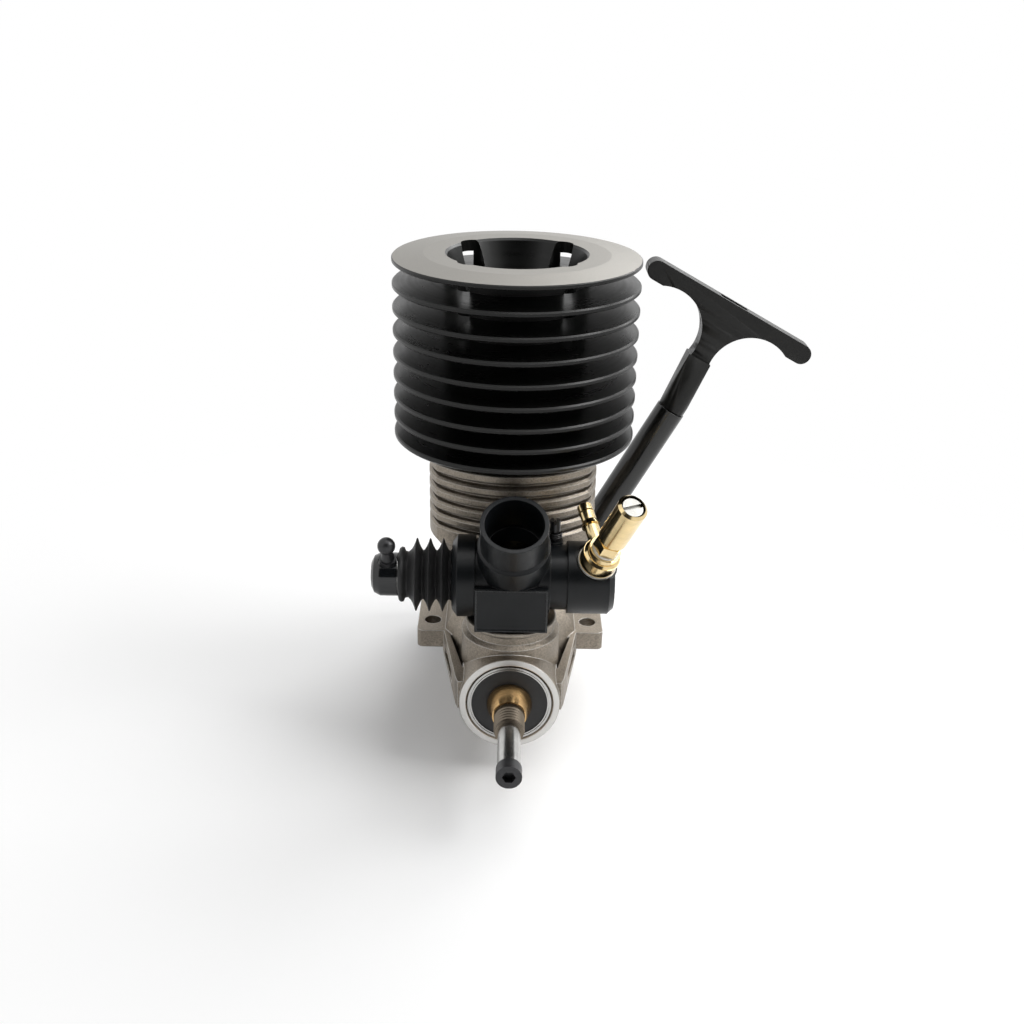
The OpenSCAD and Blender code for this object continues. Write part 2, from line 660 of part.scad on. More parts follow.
module flywheel_collet() color(brass) along_y(collet_y - collet_l) difference() {
    rotate_extrude() polygon([[nose_d / 2, 0], [3.8, 0], [5.1, collet_l - 0.9], [5.1, collet_l],
                              [nose_d / 2, collet_l]]);
    translate([0, 2, collet_l / 2]) cube([0.7, 8, 2 * collet_l], center = true);
}

module clutch_screw() color(dark_steel) along_y(pilot_tip_y) rotate([180, 0, 0])
    cap_screw(2.96, 7, 5.5, 3, 2.5);

module piston() color(steel) difference() {
    translate([0, 0, wrist_z - skirt_length]) cylinder(d = piston_d, h = crown_height + skirt_length);
    translate([0, 0, wrist_z - skirt_length - cut]) cylinder(d = piston_d - 2.6, h = skirt_length + cut - 3.4);
    translate([0, 0, wrist_z]) cube([piston_d - 4.6, rod_t + 1.2, 9.4], center = true);
    translate([0, 0, wrist_z - skirt_length]) cube([piston_d - 4.6, rod_t + 1.2, 9.4], center = true);
    along_y(-piston_d) translate([0, -wrist_z, 0]) cylinder(d = wrist_pin_d + 2 * run_fit, h = 2 * piston_d);
}

wrist_pin_l = bore_d - 3.6;

module wrist_pin() color(steel) along_y(-wrist_pin_l / 2) translate([0, -wrist_z, 0])
    ring(wrist_pin_d, wrist_pin_d * 0.5, wrist_pin_l);

module wrist_pin_clips() color(dark_steel) for (s = [-1, 1])
    translate([0, s * (wrist_pin_l / 2 + 0.45), wrist_z]) rotate([90, 0, 0]) translate([0, 0, -0.3])
        difference() {
            ring(wrist_pin_d - 0.1, wrist_pin_d - 1.3, 0.6);
            translate([0, 2, 0]) cube([1.2, 4, 4], center = true);
        }

small_end_d = 7.4;
bush_t = 0.6;

module connecting_rod() color(steel) difference() {
    union() {
        along_y(-rod_t / 2) {
            translate([0, -wrist_z, 0]) cylinder(d = small_end_d, h = rod_t);
            translate([0, -crank_r, 0]) cylinder(d = big_end_d, h = rod_t);
        }
        translate([0, 0, crank_r + rod_length / 2]) cube([4.6, rod_t - 1, rod_length], center = true);
    }
    for (s = [-1, 1]) translate([0, s * (rod_t / 2), crank_r + rod_length / 2])
        cube([2.6, 2.4, rod_length - big_end_d - 4], center = true);
    along_y(-rod_t) {
        translate([0, -wrist_z, 0]) cylinder(d = wrist_pin_d + 2 * bush_t, h = 2 * rod_t);
        translate([0, -crank_r, 0]) cylinder(d = crank_pin_d + 2 * bush_t, h = 2 * rod_t);
    }
}

module small_end_bush() color(brass) along_y(-rod_t / 2) translate([0, -wrist_z, 0])
    ring(wrist_pin_d + 2 * bush_t, wrist_pin_d + 2 * run_fit, rod_t);
module big_end_bush() color(brass) along_y(-rod_t / 2) translate([0, -crank_r, 0])
    ring(crank_pin_d + 2 * bush_t, crank_pin_d + 2 * seat_fit, rod_t);
module crank_pin() color(steel) along_y(web_face_y + 0.05) translate([0, -crank_r, 0])
    ring(crank_pin_d, 2, pin_end_y - web_face_y - 0.05);

// Carburettor
module carburettor_body() color(black_part) difference() {
    union() {
        translate([0, -carb_y, stem_bottom]) cylinder(d = stem_d, h = neck_z + 0.1 - stem_bottom);
        translate([0, -carb_y, neck_z]) cylinder(d = -2 * guide_x, h = slide_z - neck_z);
        along_slide(guide_x) cylinder(d = housing_d, h = -guide_x + 8.6);
        along_slide(8.5) cylinder(d = housing_d - 1.6, h = 4.1);
        along_slide(12.5) cylinder(d = housing_d, h = housing_x - 12.5 - 1.2);
        along_slide(housing_x - 1.3) cylinder(d1 = housing_d, d2 = housing_d - 2.4, h = 1.3);
        translate([-7.6, -carb_y - housing_d / 2 - 0.8, block_z])
            cube([15.2, housing_d / 2, slide_z - block_z]);
        // Front plate
        translate([-plate_w / 2, -carb_y - housing_d / 2 - 1.7, block_z]) cube([plate_w, 1.8, plate_h]);
        // Venturi base and tube
        along_venturi(0) cylinder(d = mouth_d + 1.2, h = mouth_reach - 8);
        along_venturi(mouth_reach - 8.1) cylinder(d1 = mouth_d + 1.2, d2 = mouth_d, h = 0.6);
        along_venturi(mouth_reach - 8) cylinder(d = mouth_d, h = 8);
        // Needle boss
        along_needle(0) cylinder(d = banjo_d + 1.4, h = banjo_low - washer_t);
        // Idle screw post
        translate([idle_x, idle_y, slide_z]) cylinder(d = 3.8, h = housing_d / 2 - 0.2);
    }
    // Throttle bore, venturi bore and needle passages
    along_slide(guide_x - cut) cylinder(d = slide_d + 2 * run_fit, h = throttle_bore_x - guide_x);
    along_slide(10) cylinder(d = 3.4, h = housing_x);
    along_slide(housing_x - 5) cylinder(d = 6.2, h = 6);
    along_venturi(0) cylinder(d = mouth_bore - 4, h = mouth_reach);
    along_venturi(6.5) cylinder(d = mouth_bore, h = mouth_reach);
    translate([0, -carb_y, stem_bottom - cut]) cylinder(d = 8, h = slide_z - stem_bottom + cut);
    along_needle(0) cylinder(d = 4.2, h = 20);
    along_needle(banjo_low - washer_t) cylinder(d = banjo_d + 1.6, h = 12);
    translate([idle_x, idle_y, slide_z]) cylinder(d = 2.3, h = housing_d);
    // Flat towards the cylinder
    translate([guide_x - cut, -jacket_l / 2 - 0.4, neck_z + 0.2]) cube([20, 20, 30]);
    // Groove for the seal and the notch for the pinch bolt
    translate([0, -carb_y, stem_bottom + 1]) difference() {
        cylinder(d = stem_d + 2, h = 1.9);
        translate([0, 0, -cut]) cylinder(d = stem_d - 2.4, h = 5);
    }
    at_pinch() cylinder(d = 3.6, h = 2 * pinch_w, center = true);
}

module venturi_reducer() color(dark_steel) along_venturi(6.6) difference() {
    cylinder(d = mouth_bore - 2 * seat_fit, h = 4);
    translate([0, 0, -cut]) cylinder(d = mouth_bore - 4, h = 3);
    translate([0, 0, 1]) cylinder(d1 = mouth_bore - 4, d2 = mouth_bore - 0.8, h = 3.01);
}

module carburettor_oring() color(rubber_black) translate([0, -carb_y, stem_bottom + 1.95])
    rotate_extrude() translate([stem_d / 2 - 0.62, 0]) circle(d = 1.1);

module slide_guide() color(black_part) along_slide(boot_x) difference() {
    rotate_extrude() polygon([[0, 0], [boot_d / 2 - 0.6, 0], [boot_d / 2 + 1, 1.2],
                              [boot_d / 2 + 1, guide_l], [0, guide_l]]);
    translate([0, 0, -cut]) cylinder(d = slide_d + 2 * run_fit, h = guide_l + 2 * cut);
}

module throttle_slide() color(steel) difference() {
    along_slide(cap_x) cylinder(d = slide_d, h = slide_end_x - cap_x);
    along_slide(-6) cylinder(d = 3.2, h = 20);
    along_venturi(-20) cylinder(d = slide_d * 0.78, h = 40);
}

// Local Z runs up the ball stud, from the throttle slide axis.
module along_stud(h) {
    translate([cap_x - cap_l / 2 + 0.85, -carb_y, slide_z]) rotate([26, 0, 0]) translate([0, 0, h]) children();
}

stud_seat = cap_d / 2 - 0.35;

module throttle_end_cap() color(black_part) difference() {
    along_slide(cap_x - cap_l) rotate_extrude()
        polygon([[0, 0], [cap_d / 2 - 1.9, 0], [cap_d / 2 - 0.7, 0.6], [cap_d / 2, 2],
                 [cap_d / 2, cap_l], [0, cap_l]]);
    along_stud(stud_seat - 3) cylinder(d = 2.4, h = 8);
    along_stud(stud_seat) cylinder(d = 4.4, h = 8);
}

module throttle_ball_stud() color(dark_steel) {
    along_stud(stud_seat - 2.9) cylinder(d = 2.4, h = 6);
    along_stud(stud_seat) cylinder(d = 3.8, h = 1.2);
    along_stud(stud_seat + 1.1) cylinder(d1 = 3.2, d2 = 2.2, h = 3.5);
    along_stud(stud_seat + 5.6) sphere(d = ball_d);
}

module rubber_boot() color(rubber_black) along_slide(cap_x + 0.15) {
    l = boot_l - 0.3;
    low = boot_d / 2 - 2.8;
    neck = 2.6;
    fold = (l - neck - 0.4) / fold_count;
    rotate_extrude() polygon(concat(
        [[slide_d / 2 + 0.3, 0], [cap_d / 2 + 1, 0], [cap_d / 2 + 0.9, 1.6], [low - 0.4, neck]],
        [for (i = [0:fold_count - 1]) each [[boot_d / 2, neck + fold * (i + 0.5)],
                                            [low, neck + fold * (i + 1)]]],
        [[low, l], [slide_d / 2 + 0.3, l]]));
}

module slotted_head(d, h, slot) difference() {
    cylinder(d = d, h = h);
    translate([0, 0, h]) cube([slot, d + 2, 1.4], center = true);
}

module idle_stop_screw() color(dark_steel) translate([idle_x, idle_y, idle_top]) {
    translate([0, 0, -3.6]) cylinder(d = 2.2, h = 3.7);
    translate([0, 0, 2.2]) slotted_head(2.4, 2.6, 0.6);
    cylinder(d = 1.8, h = 2.3);
}

module idle_screw_spring() color(steel) for (i = [0:2])
    translate([idle_x, idle_y, idle_top + 0.4 + i * 0.65])
        rotate_extrude() translate([1.45, 0]) circle(d = 0.45);

module low_speed_needle() color(brass) along_slide(0) {
    translate([0, 0, housing_x - 4.8]) slotted_head(6, 3.6, 0.9);
    translate([0, 0, 13.2]) cylinder(d = 3.3, h = housing_x - 13.2 - 4.8);
}

module spray_bar() color(brass) along_slide(-1.8) ring(2.6, 1.2, 14.8);

module needle_housing() color(brass) along_needle(0) difference() {
    union() {
        translate([0, 0, 4]) cylinder(d = 4.1, h = 14);
        translate([0, 0, banjo_low + banjo_h + washer_t]) cylinder(d = 5.6 / cos(30), h = 3, $fn = 6);
        rotate_extrude() polygon([[0, banjo_low + banjo_h + 3.4], [2.6, banjo_low + banjo_h + 3.4],
            [needle_tube_d / 2, banjo_low + banjo_h + 4.6], [needle_tube_d / 2, needle_reach - 0.6],
            [needle_tube_d / 2 - 0.6, needle_reach], [0, needle_reach]]);
    }
    cylinder(d = 2.2, h = 40);
    translate([0, 0, needle_reach - 8.4]) cylinder(d = needle_tube_d - 1.2, h = 10);
}

module high_speed_needle() color(steel) along_needle(0) {
    translate([0, 0, needle_reach - 4.6]) slotted_head(needle_tube_d - 2, 4.2, 0.9);
    translate([0, 0, 9]) cylinder(d = 2, h = needle_reach - 13.5);
    translate([0, 0, 5.5]) cylinder(d1 = 0.5, d2 = 2, h = 3.5);
}

module needle_oring() color(rubber_black) along_needle(needle_reach - 6)
    rotate_extrude() translate([1.85, 0]) circle(d = 1.5);

module fuel_nipple() color(brass) along_needle(banjo_low) difference() {
    union() {
        cylinder(d = banjo_d, h = 3.2);
        translate([0, 0, 3.1]) cylinder(d1 = banjo_d, d2 = banjo_d - 1.4, h = 0.5);
        cylinder(d = banjo_d - 1.4, h = banjo_h);
        translate([0, 0, banjo_h / 2]) rotate([0, 90, nipple_turn]) {
            cylinder(d = 3.4, h = nipple_l);
            translate([0, 0, nipple_l - 5.4]) cylinder(d1 = barb_d + 0.4, d2 = 3.2, h = 1.6);
            translate([0, 0, nipple_l - 1.9]) cylinder(d1 = barb_d - 0.4, d2 = 2.5, h = 1.9);
        }
    }
    translate([0, 0, -cut]) cylinder(d = 4.1 + 2 * seat_fit, h = banjo_h + 2 * cut);
    translate([0, 0, banjo_h / 2]) rotate([0, 90, nipple_turn]) cylinder(d = 1.8, h = nipple_l + cut);
}

module banjo_washers() color("#e4e2dc") along_needle(0) {
    translate([0, 0, banjo_low - washer_t]) ring(banjo_d + 0.4, 4.3, washer_t);
    translate([0, 0, banjo_low + banjo_h]) ring(banjo_d - 2.4, 4.3, washer_t);
}

module pinch_bolt() color(dark_steel) at_pinch() translate([0, 0, pinch_w / 2])
    cap_screw(2.96, pinch_w + 4, 5.2, 2.8, 2.5);
module pinch_nut() color(steel) at_pinch() translate([0, 0, -pinch_w / 2 - 2.4]) difference() {
    cylinder(d = 5.5 / cos(30), h = 2.4, $fn = 6);
    translate([0, 0, -cut]) cylinder(d = 2.98, h = 5);
}

// Starter
module starter_backplate() color(cast_grey) difference() {
    union() {
        along_y(plate_front_y) cylinder(r = case_r, h = backplate_t);
        along_y(plate_front_y - 2.8) cylinder(r = chamber_r - seat_fit, h = 3);
        along_y(case_front_y - 0.1) cylinder(d = shaft_d + 5, h = 4);
    }
    along_y(0) cylinder(d = shaft_d + 2, h = 40);
    backplate_screw_places() translate([0, 0, 0]) cylinder(d = 2.8, h = 40);
    along_y(plate_front_y - 1.9) difference() {
        cylinder(r = chamber_r + 1, h = 1.2);
        translate([0, 0, -cut]) cylinder(r = chamber_r - 1, h = 4);
    }
}

module backplate_seal() color(rubber_black) along_y(plate_front_y - 1.3)
    rotate_extrude() translate([chamber_r - 0.5, 0]) circle(d = 0.8);

module backplate_bush() color(brass) along_y(plate_front_y - 2.7)
    ring(shaft_d + 2 - 2 * 0.02, shaft_d + 2 * run_fit, case_front_y - plate_front_y + 6.4);

module starter_shaft() color(steel) along_y(pin_end_y + 2.6) {
    cylinder(d = shaft_d, h = cord_y + 3 - pin_end_y - 2.6);
}

module drive_plate() color(dark_steel) along_y(pin_end_y + 0.2) difference() {
    union() {
        cylinder(d = 2 * crank_r + 3, h = 2.2);
    }
    for (s = [-1, 1]) translate([0, s * crank_r, 1])
        cube([crank_pin_d + 0.6, crank_pin_d + 2, 4], center = true);
}

module one_way_bearing() color(steel) along_y(cord_y - spool_half_w)
    ring(clutch_d, shaft_d + 2 * run_fit, 2 * spool_half_w);

module cord_spool() color(black_part) along_y(cord_y) {
    rotate_extrude() polygon([
        [clutch_d / 2 + seat_fit, -spool_half_w], [case_inner_r - 0.6, -spool_half_w],
        [case_inner_r - 0.6, -2.6],
        [spool_r - cord_d * 1.5 - 0.3, -2.2], [spool_r - cord_d * 1.5 - 0.3, 2.2],
        [case_inner_r - 0.6, 2.6], [case_inner_r - 0.6, spool_half_w],
        [clutch_d / 2 + seat_fit, spool_half_w]]);
}

module cord_winding() color(black_part) along_y(cord_y)
    for (r = [spool_r, spool_r - cord_d - 0.05], y = [-1, 1])
        translate([0, 0, y * (cord_d / 2 + 0.05)]) rotate_extrude() translate([r, 0]) circle(d = cord_d);

// Spiral spring between the backplate and the spool.
module recoil_spring() {
    turns = 5;
    steps = 24 * turns;
    inner_r = 6.6;
    outer_r = case_inner_r - 1.2;
    strip_t = 0.35;
    function coil(i, t) = (inner_r + t + (outer_r - inner_r) * i / steps) * [cos(15 * i), sin(15 * i)];
    color(steel) along_y(case_front_y + 5) linear_extrude(cord_y - case_front_y - 10.5) polygon(concat(
        [for (i = [0:steps]) coil(i, 0)], [for (i = [steps:-1:0]) coil(i, strip_t)]));
}

module starter_case() color(black_part) difference() {
    union() {
        along_y(case_front_y) cylinder(r = case_r, h = case_rear_y - case_front_y - 1);
        along_y(case_rear_y - 1.1) cylinder(r1 = case_r, r2 = case_r - 1.1, h = 1.1);
        along_pull(0) cylinder(d = tube_d + 2.4, h = sqrt(pow(case_r, 2) - pow(spool_r, 2)) + 5);
        backplate_screw_places() translate([0, 0, case_front_y]) cylinder(r = 3, h = 12);
    }
    along_y(case_front_y - cut) cylinder(r = case_inner_r, h = case_rear_y - starter_wall - case_front_y + cut);
    along_pull(-3) cylinder(d = tube_d - 2.4, h = 40);
    along_pull(sqrt(pow(case_r, 2) - pow(spool_r, 2)) - 0.3) cylinder(d = tube_d + 2 * seat_fit, h = 40);
    backplate_screw_places() {
        translate([0, 0, case_front_y - cut]) cylinder(d = 2.8, h = 20);
        translate([0, 0, case_front_y + 10]) cylinder(d = 5, h = 20);
    }
}

module guide_tube() color(black_part) {
    low = sqrt(pow(case_r, 2) - pow(spool_r, 2)) - 0.2;
    along_pull(low) ring(tube_d, cord_d + 1.2, tube_end - low);
}

module starter_screws() color(dark_steel) backplate_screw_places()
    translate([0, 0, case_front_y + 10]) cap_screw(2.56, 10 + backplate_t + 6, 4.5, 2.2, 2);

cord_top = handle_low + handle_h - 4.6;
// Where the straight cord comes clear of the turns on the spool
cord_low = sqrt(pow(spool_r + cord_d + 0.1, 2) - pow(spool_r, 2));

module pull_cord() color(black_part) along_pull(cord_low) cylinder(d = cord_d, h = cord_top - cord_low);

module pull_handle() {
    stem_w = 6.4;
    bar_h = 5;
    arc_r = 10.9;
    arc_x = 13.5;
    top = handle_low + handle_h;
    arc_s = top - 14.7;
    flat_low = arc_s - 1.8;
    color(black_part) difference() {
        union() {
            along_pull(0) translate([handle_x, handle_t / 2, 0]) rotate([90, 0, 0]) linear_extrude(handle_t)
                difference() {
                    union() {
                        translate([-handle_w / 2 + bar_h / 2, top - bar_h]) square([handle_w - bar_h, bar_h]);
                        for (s = [-1, 1]) translate([s * (handle_w - bar_h) / 2, top - bar_h / 2])
                            circle(d = bar_h);
                        translate([-arc_x, arc_s]) square([2 * arc_x, top - arc_s - 1]);
                        translate([-stem_w / 2, flat_low]) square([stem_w, arc_s - flat_low + 1]);
                    }
                    for (s = [-1, 1]) translate([s * arc_x, arc_s]) circle(arc_r);
                }
            hull() {
                along_pull(handle_low) cylinder(d = tube_d - 0.5, h = 2, $fn = 32);
                along_pull(flat_low) translate([handle_x, 0, 0]) cube([stem_w, handle_t, 0.1], center = true);
            }
        }
        along_pull(handle_low - cut) cylinder(d = cord_d + 0.6, h = handle_h + 2 * cut);
        along_pull(top) translate([handle_x, 0, 0]) cube([8, 3.2, 9], center = true);
    }
}

module cord_knot() color(black_part) along_pull(cord_top + 1.42) sphere(d = 2.8);

crankcase();
cylinder_sleeve();
cooling_head();
head_button();
head_gasket();
head_screws();
glow_plug();
glow_plug_terminal();
plug_washer();
front_bearing_outer();
front_bearing_inner();
front_bearing_balls();
front_bearing_seal();
rear_bearing_outer();
rear_bearing_inner();
rear_bearing_balls();
crankshaft();
flywheel_collet();
clutch_screw();
piston();
wrist_pin();
wrist_pin_clips();
connecting_rod();
small_end_bush();
big_end_bush();
crank_pin();
carburettor_body();
venturi_reducer();
carburettor_oring();
slide_guide();
throttle_slide();
throttle_end_cap();
throttle_ball_stud();
rubber_boot();
idle_stop_screw();
idle_screw_spring();
low_speed_needle();
spray_bar();
needle_housing();
needle_oring();
high_speed_needle();
fuel_nipple();
banjo_washers();
pinch_bolt();
pinch_nut();
starter_backplate();
backplate_seal();
backplate_bush();
starter_shaft();
drive_plate();
one_way_bearing();
cord_spool();
recoil_spring();
starter_case();
guide_tube();
starter_screws();
cord_winding();
pull_cord();
pull_handle();
cord_knot();
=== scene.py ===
"""Looks of a model glow engine: finishes, soft parts and fine detail around its fixed frame."""

import json
import math

import bpy
from bpy.props import FloatProperty, FloatVectorProperty, IntProperty, PointerProperty
from mathutils import Matrix, Vector


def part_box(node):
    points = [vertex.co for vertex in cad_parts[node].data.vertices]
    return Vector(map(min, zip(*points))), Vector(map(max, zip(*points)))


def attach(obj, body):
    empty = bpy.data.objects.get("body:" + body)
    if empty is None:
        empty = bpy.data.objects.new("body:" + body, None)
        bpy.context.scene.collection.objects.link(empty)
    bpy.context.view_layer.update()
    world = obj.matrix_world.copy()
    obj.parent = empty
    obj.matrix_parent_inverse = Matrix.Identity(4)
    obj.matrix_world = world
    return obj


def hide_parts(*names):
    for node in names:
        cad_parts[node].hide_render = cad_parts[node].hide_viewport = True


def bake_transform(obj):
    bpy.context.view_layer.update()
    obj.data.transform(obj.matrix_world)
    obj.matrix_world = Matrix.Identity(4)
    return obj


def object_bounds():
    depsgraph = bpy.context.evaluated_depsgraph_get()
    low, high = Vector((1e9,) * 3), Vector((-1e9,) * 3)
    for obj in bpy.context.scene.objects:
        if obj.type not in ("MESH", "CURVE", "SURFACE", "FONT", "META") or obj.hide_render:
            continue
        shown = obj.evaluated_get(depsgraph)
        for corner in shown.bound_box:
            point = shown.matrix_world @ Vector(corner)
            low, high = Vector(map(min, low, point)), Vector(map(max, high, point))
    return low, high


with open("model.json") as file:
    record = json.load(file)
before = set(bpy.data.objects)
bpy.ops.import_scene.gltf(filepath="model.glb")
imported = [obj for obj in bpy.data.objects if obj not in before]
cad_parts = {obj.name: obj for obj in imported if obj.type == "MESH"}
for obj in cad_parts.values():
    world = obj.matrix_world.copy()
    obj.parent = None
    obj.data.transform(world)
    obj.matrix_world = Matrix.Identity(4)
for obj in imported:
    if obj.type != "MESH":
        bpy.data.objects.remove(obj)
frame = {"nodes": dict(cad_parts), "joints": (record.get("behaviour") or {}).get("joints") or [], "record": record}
CAD_LOW, CAD_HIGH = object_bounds()
NODES = frame["nodes"]
MM = 0.001

bl_info = {
    "name": "Glow Engine Looks",
    "version": (1, 0, 0),
    "blender": (4, 5, 0),
    "location": "View3D > Sidebar > Glow Engine",
    "description": "Builds the finishes, soft parts and studio of a model glow engine",
    "category": "Object",
}


# ---------------------------------------------------------------- places on the engine

def joint_place(name):
    """Point and direction of a joint of the frame."""
    joint = next(j for j in frame["joints"] if j["name"] == name)
    return Vector(joint.get("pos_m", (0, 0, 0))), Vector(joint["axis"]).normalized()


def mount_place(name):
    """Point and direction of a mount of the record."""
    mount = next(m for m in frame["record"]["mounts"] if m["name"] == name)
    return Vector(mount["pos_m"]), Vector(mount["axis"]).normalized()


def middle(node):
    """Middle of a node's box."""
    low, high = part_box(node)
    return (low + high) / 2


SLIDE_AXIS = (middle("throttle_slide"), Vector((1, 0, 0)))
NEEDLE_AXIS = joint_place("main_needle_turn")
NIPPLE_AXIS = mount_place("fuel_nipple")
STUD_AXIS = mount_place("throttle_ball")
VENTURI_AXIS = mount_place("venturi_mouth")
PULL_AXIS = (middle("guide_tube"), joint_place("handle_pull")[1])
IDLE_AXIS = joint_place("idle_stop_turn")
AXES = {
    "crank": (Vector(), Vector((0, 1, 0))),
    "cylinder": (Vector(), Vector((0, 0, 1))),
    "wrist pin": (middle("wrist_pin"), Vector((0, 1, 0))),
    "slide": SLIDE_AXIS,
    "needle": NEEDLE_AXIS,
    "nipple": NIPPLE_AXIS,
    "stud": STUD_AXIS,
    "venturi": VENTURI_AXIS,
    "pull": PULL_AXIS,
    "idle": IDLE_AXIS,
    "pinch": (middle("pinch_bolt"), Vector((1, 0, 0))),
}


def placing(point, direction, turn=0.0):
    """Matrix that takes local Z onto an axis of the engine."""
    spin = Matrix.Rotation(turn, 4, "Z")
    tilt = Vector((0, 0, 1)).rotation_difference(direction).to_matrix().to_4x4()
    return Matrix.Translation(point) @ tilt @ spin


# ---------------------------------------------------------------- bench tools

def deselect():
    if bpy.context.object and bpy.context.object.mode != "OBJECT":
        bpy.ops.object.mode_set(mode="OBJECT")
    bpy.ops.object.select_all(action="DESELECT")


def pick(piece):
    """Makes one piece the selected and active one."""
    deselect()
    piece.select_set(True)
    bpy.context.view_layer.objects.active = piece


def raise_profile(name, profile, segments=64, closed=False):
    """Turned piece: a ring drawn out along local Z through the (height, radius) stations of a profile."""
    deselect()
    first_z, first_r = profile[0]
    bpy.ops.mesh.primitive_circle_add(vertices=segments, radius=first_r, location=(0, 0, first_z))
    piece = bpy.context.object
    piece.name = name
    bpy.ops.object.transform_apply(location=True, rotation=True, scale=True)
    bpy.ops.object.mode_set(mode="EDIT")
    bpy.ops.mesh.select_all(action="SELECT")
    z, r = first_z, first_r
    for next_z, next_r in profile[1:]:
        bpy.ops.mesh.extrude_edges_move()
        bpy.ops.transform.translate(value=(0, 0, next_z - z))
        scale = next_r / r
        bpy.ops.transform.resize(value=(scale, scale, 1), center_override=(0, 0, next_z))
        z, r = next_z, next_r
    bpy.ops.mesh.select_all(action="SELECT")
    if closed:
        bpy.ops.mesh.remove_doubles(threshold=1e-6)
    bpy.ops.mesh.normals_make_consistent(inside=False)
    bpy.ops.object.mode_set(mode="OBJECT")
    return piece


def finish_modifiers(piece):
    """Applies every modifier of a piece."""
    pick(piece)
    for modifier in list(piece.modifiers):
        bpy.ops.object.modifier_apply(modifier=modifier.name)


def wind(name, wire_d, coil_r, pitch, turns, steps=48):
    """Helix of round wire about local Z, rising from zero."""
    deselect()
    bpy.ops.mesh.primitive_circle_add(vertices=10, radius=wire_d / 2, location=(coil_r, 0, 0),
                                      rotation=(math.pi / 2, 0, 0), fill_type="NGON")
    piece = bpy.context.object
    piece.name = name
    bpy.ops.object.transform_apply(location=True, rotation=True, scale=True)
    bpy.ops.object.mode_set(mode="EDIT")
    bpy.ops.mesh.select_all(action="SELECT")
    bpy.ops.mesh.delete(type="ONLY_FACE")
    bpy.ops.object.mode_set(mode="OBJECT")
    screw = piece.modifiers.new("coil", "SCREW")
    screw.axis = "Z"
    screw.angle = math.tau * turns
    screw.screw_offset = pitch * turns
    screw.steps = screw.render_steps = int(steps * turns)
    screw.use_smooth_shade = True
    finish_modifiers(piece)
    bpy.ops.object.mode_set(mode="EDIT")
    bpy.ops.mesh.select_all(action="DESELECT")
    bpy.ops.mesh.select_non_manifold()
    bpy.ops.mesh.edge_face_add()
    bpy.ops.mesh.select_all(action="SELECT")
    bpy.ops.mesh.normals_make_consistent(inside=False)
    bpy.ops.object.mode_set(mode="OBJECT")
    return piece


def set_in_place(piece, place, smooth_angle=math.radians(40)):
    """Leaves the piece at the origin with its place in its mesh, smooth up to an edge angle."""
    pick(piece)
    piece.matrix_world = place @ piece.matrix_world
    bpy.ops.object.transform_apply(location=True, rotation=True, scale=True)
    bpy.ops.object.shade_smooth_by_angle(angle=smooth_angle)
    return piece


def paint(piece, finish, slot):
    piece.data.materials.clear()
    piece.data.materials.append(finish)


# ---------------------------------------------------------------- finishes

def join_node(tree, kind, sockets=None, **settings):
    """Adds a shader node, sets its choices and fills or links its inputs."""
    node = tree.nodes.new(kind)
    for key, value in settings.items():
        setattr(node, key, value)
    for key, value in (sockets or {}).items():
        if isinstance(value, bpy.types.NodeSocket):
            tree.links.new(value, node.inputs[key])
        else:
            node.inputs[key].default_value = value
    return node


def math_node(tree, operation, a, b=0.0, clamp=False):
    return join_node(tree, "ShaderNodeMath", {0: a, 1: b}, operation=operation, use_clamp=clamp).outputs[0]


def spread(tree, value, low, high, to_low, to_high):
    """Maps a value from one range to another, held at its ends."""
    sockets = {"Value": value, "From Min": low, "From Max": high, "To Min": to_low, "To Max": to_high}
    return join_node(tree, "ShaderNodeMapRange", sockets, clamp=True).outputs["Result"]


def blend_colour(tree, factor, first, second):
    node = join_node(tree, "ShaderNodeMix", data_type="RGBA", clamp_factor=True)
    for socket, value in ((node.inputs[0], factor), (node.inputs[6], first), (node.inputs[7], second)):
        if isinstance(value, bpy.types.NodeSocket):
            tree.links.new(value, socket)
        else:
            socket.default_value = value
    return node.outputs[2]


def blend_value(tree, factor, first, second):
    node = join_node(tree, "ShaderNodeMix", data_type="FLOAT", clamp_factor=True)
    for socket, value in ((node.inputs[0], factor), (node.inputs[2], first), (node.inputs[3], second)):
        if isinstance(value, bpy.types.NodeSocket):
            tree.links.new(value, socket)
        else:
            socket.default_value = value
    return node.outputs[0]


def rgba(colour, gain=1.0):
    return tuple(min(1.0, c * gain) for c in colour[:3]) + (1.0,)


def noise(tree, vector, size, detail=2.0, roughness=0.5):
    """Noise whose patches are about size metres across."""
    sockets = {"Vector": vector, "Scale": 1 / size, "Detail": detail, "Roughness": roughness}
    return join_node(tree, "ShaderNodeTexNoise", sockets).outputs["Fac"]


def part_coordinates(tree, axis):
    """Coordinates with Z along an axis of the engine, in metres from it."""
    point, direction = AXES[axis]
    turn = Vector((0, 0, 1)).rotation_difference(direction).to_euler()
    place = join_node(tree, "ShaderNodeTexCoord").outputs["Object"]
    sockets = {"Vector": place, "Location": tuple(point), "Rotation": tuple(turn)}
    return join_node(tree, "ShaderNodeMapping", sockets, vector_type="TEXTURE").outputs["Vector"]


def lathe_coordinates(tree, axis):
    """Radius and height about an axis: a pattern read from them runs round the part as a tool mark does."""
    local = part_coordinates(tree, axis)
    parts = join_node(tree, "ShaderNodeSeparateXYZ", {0: local}).outputs
    flat = join_node(tree, "ShaderNodeCombineXYZ", {0: parts[0], 1: parts[1]}).outputs[0]
    radius = join_node(tree, "ShaderNodeVectorMath", {0: flat}, operation="LENGTH").outputs["Value"]
    rings = join_node(tree, "ShaderNodeCombineXYZ", {0: radius, 1: parts[2]}).outputs[0]
    return local, radius, parts[2], rings


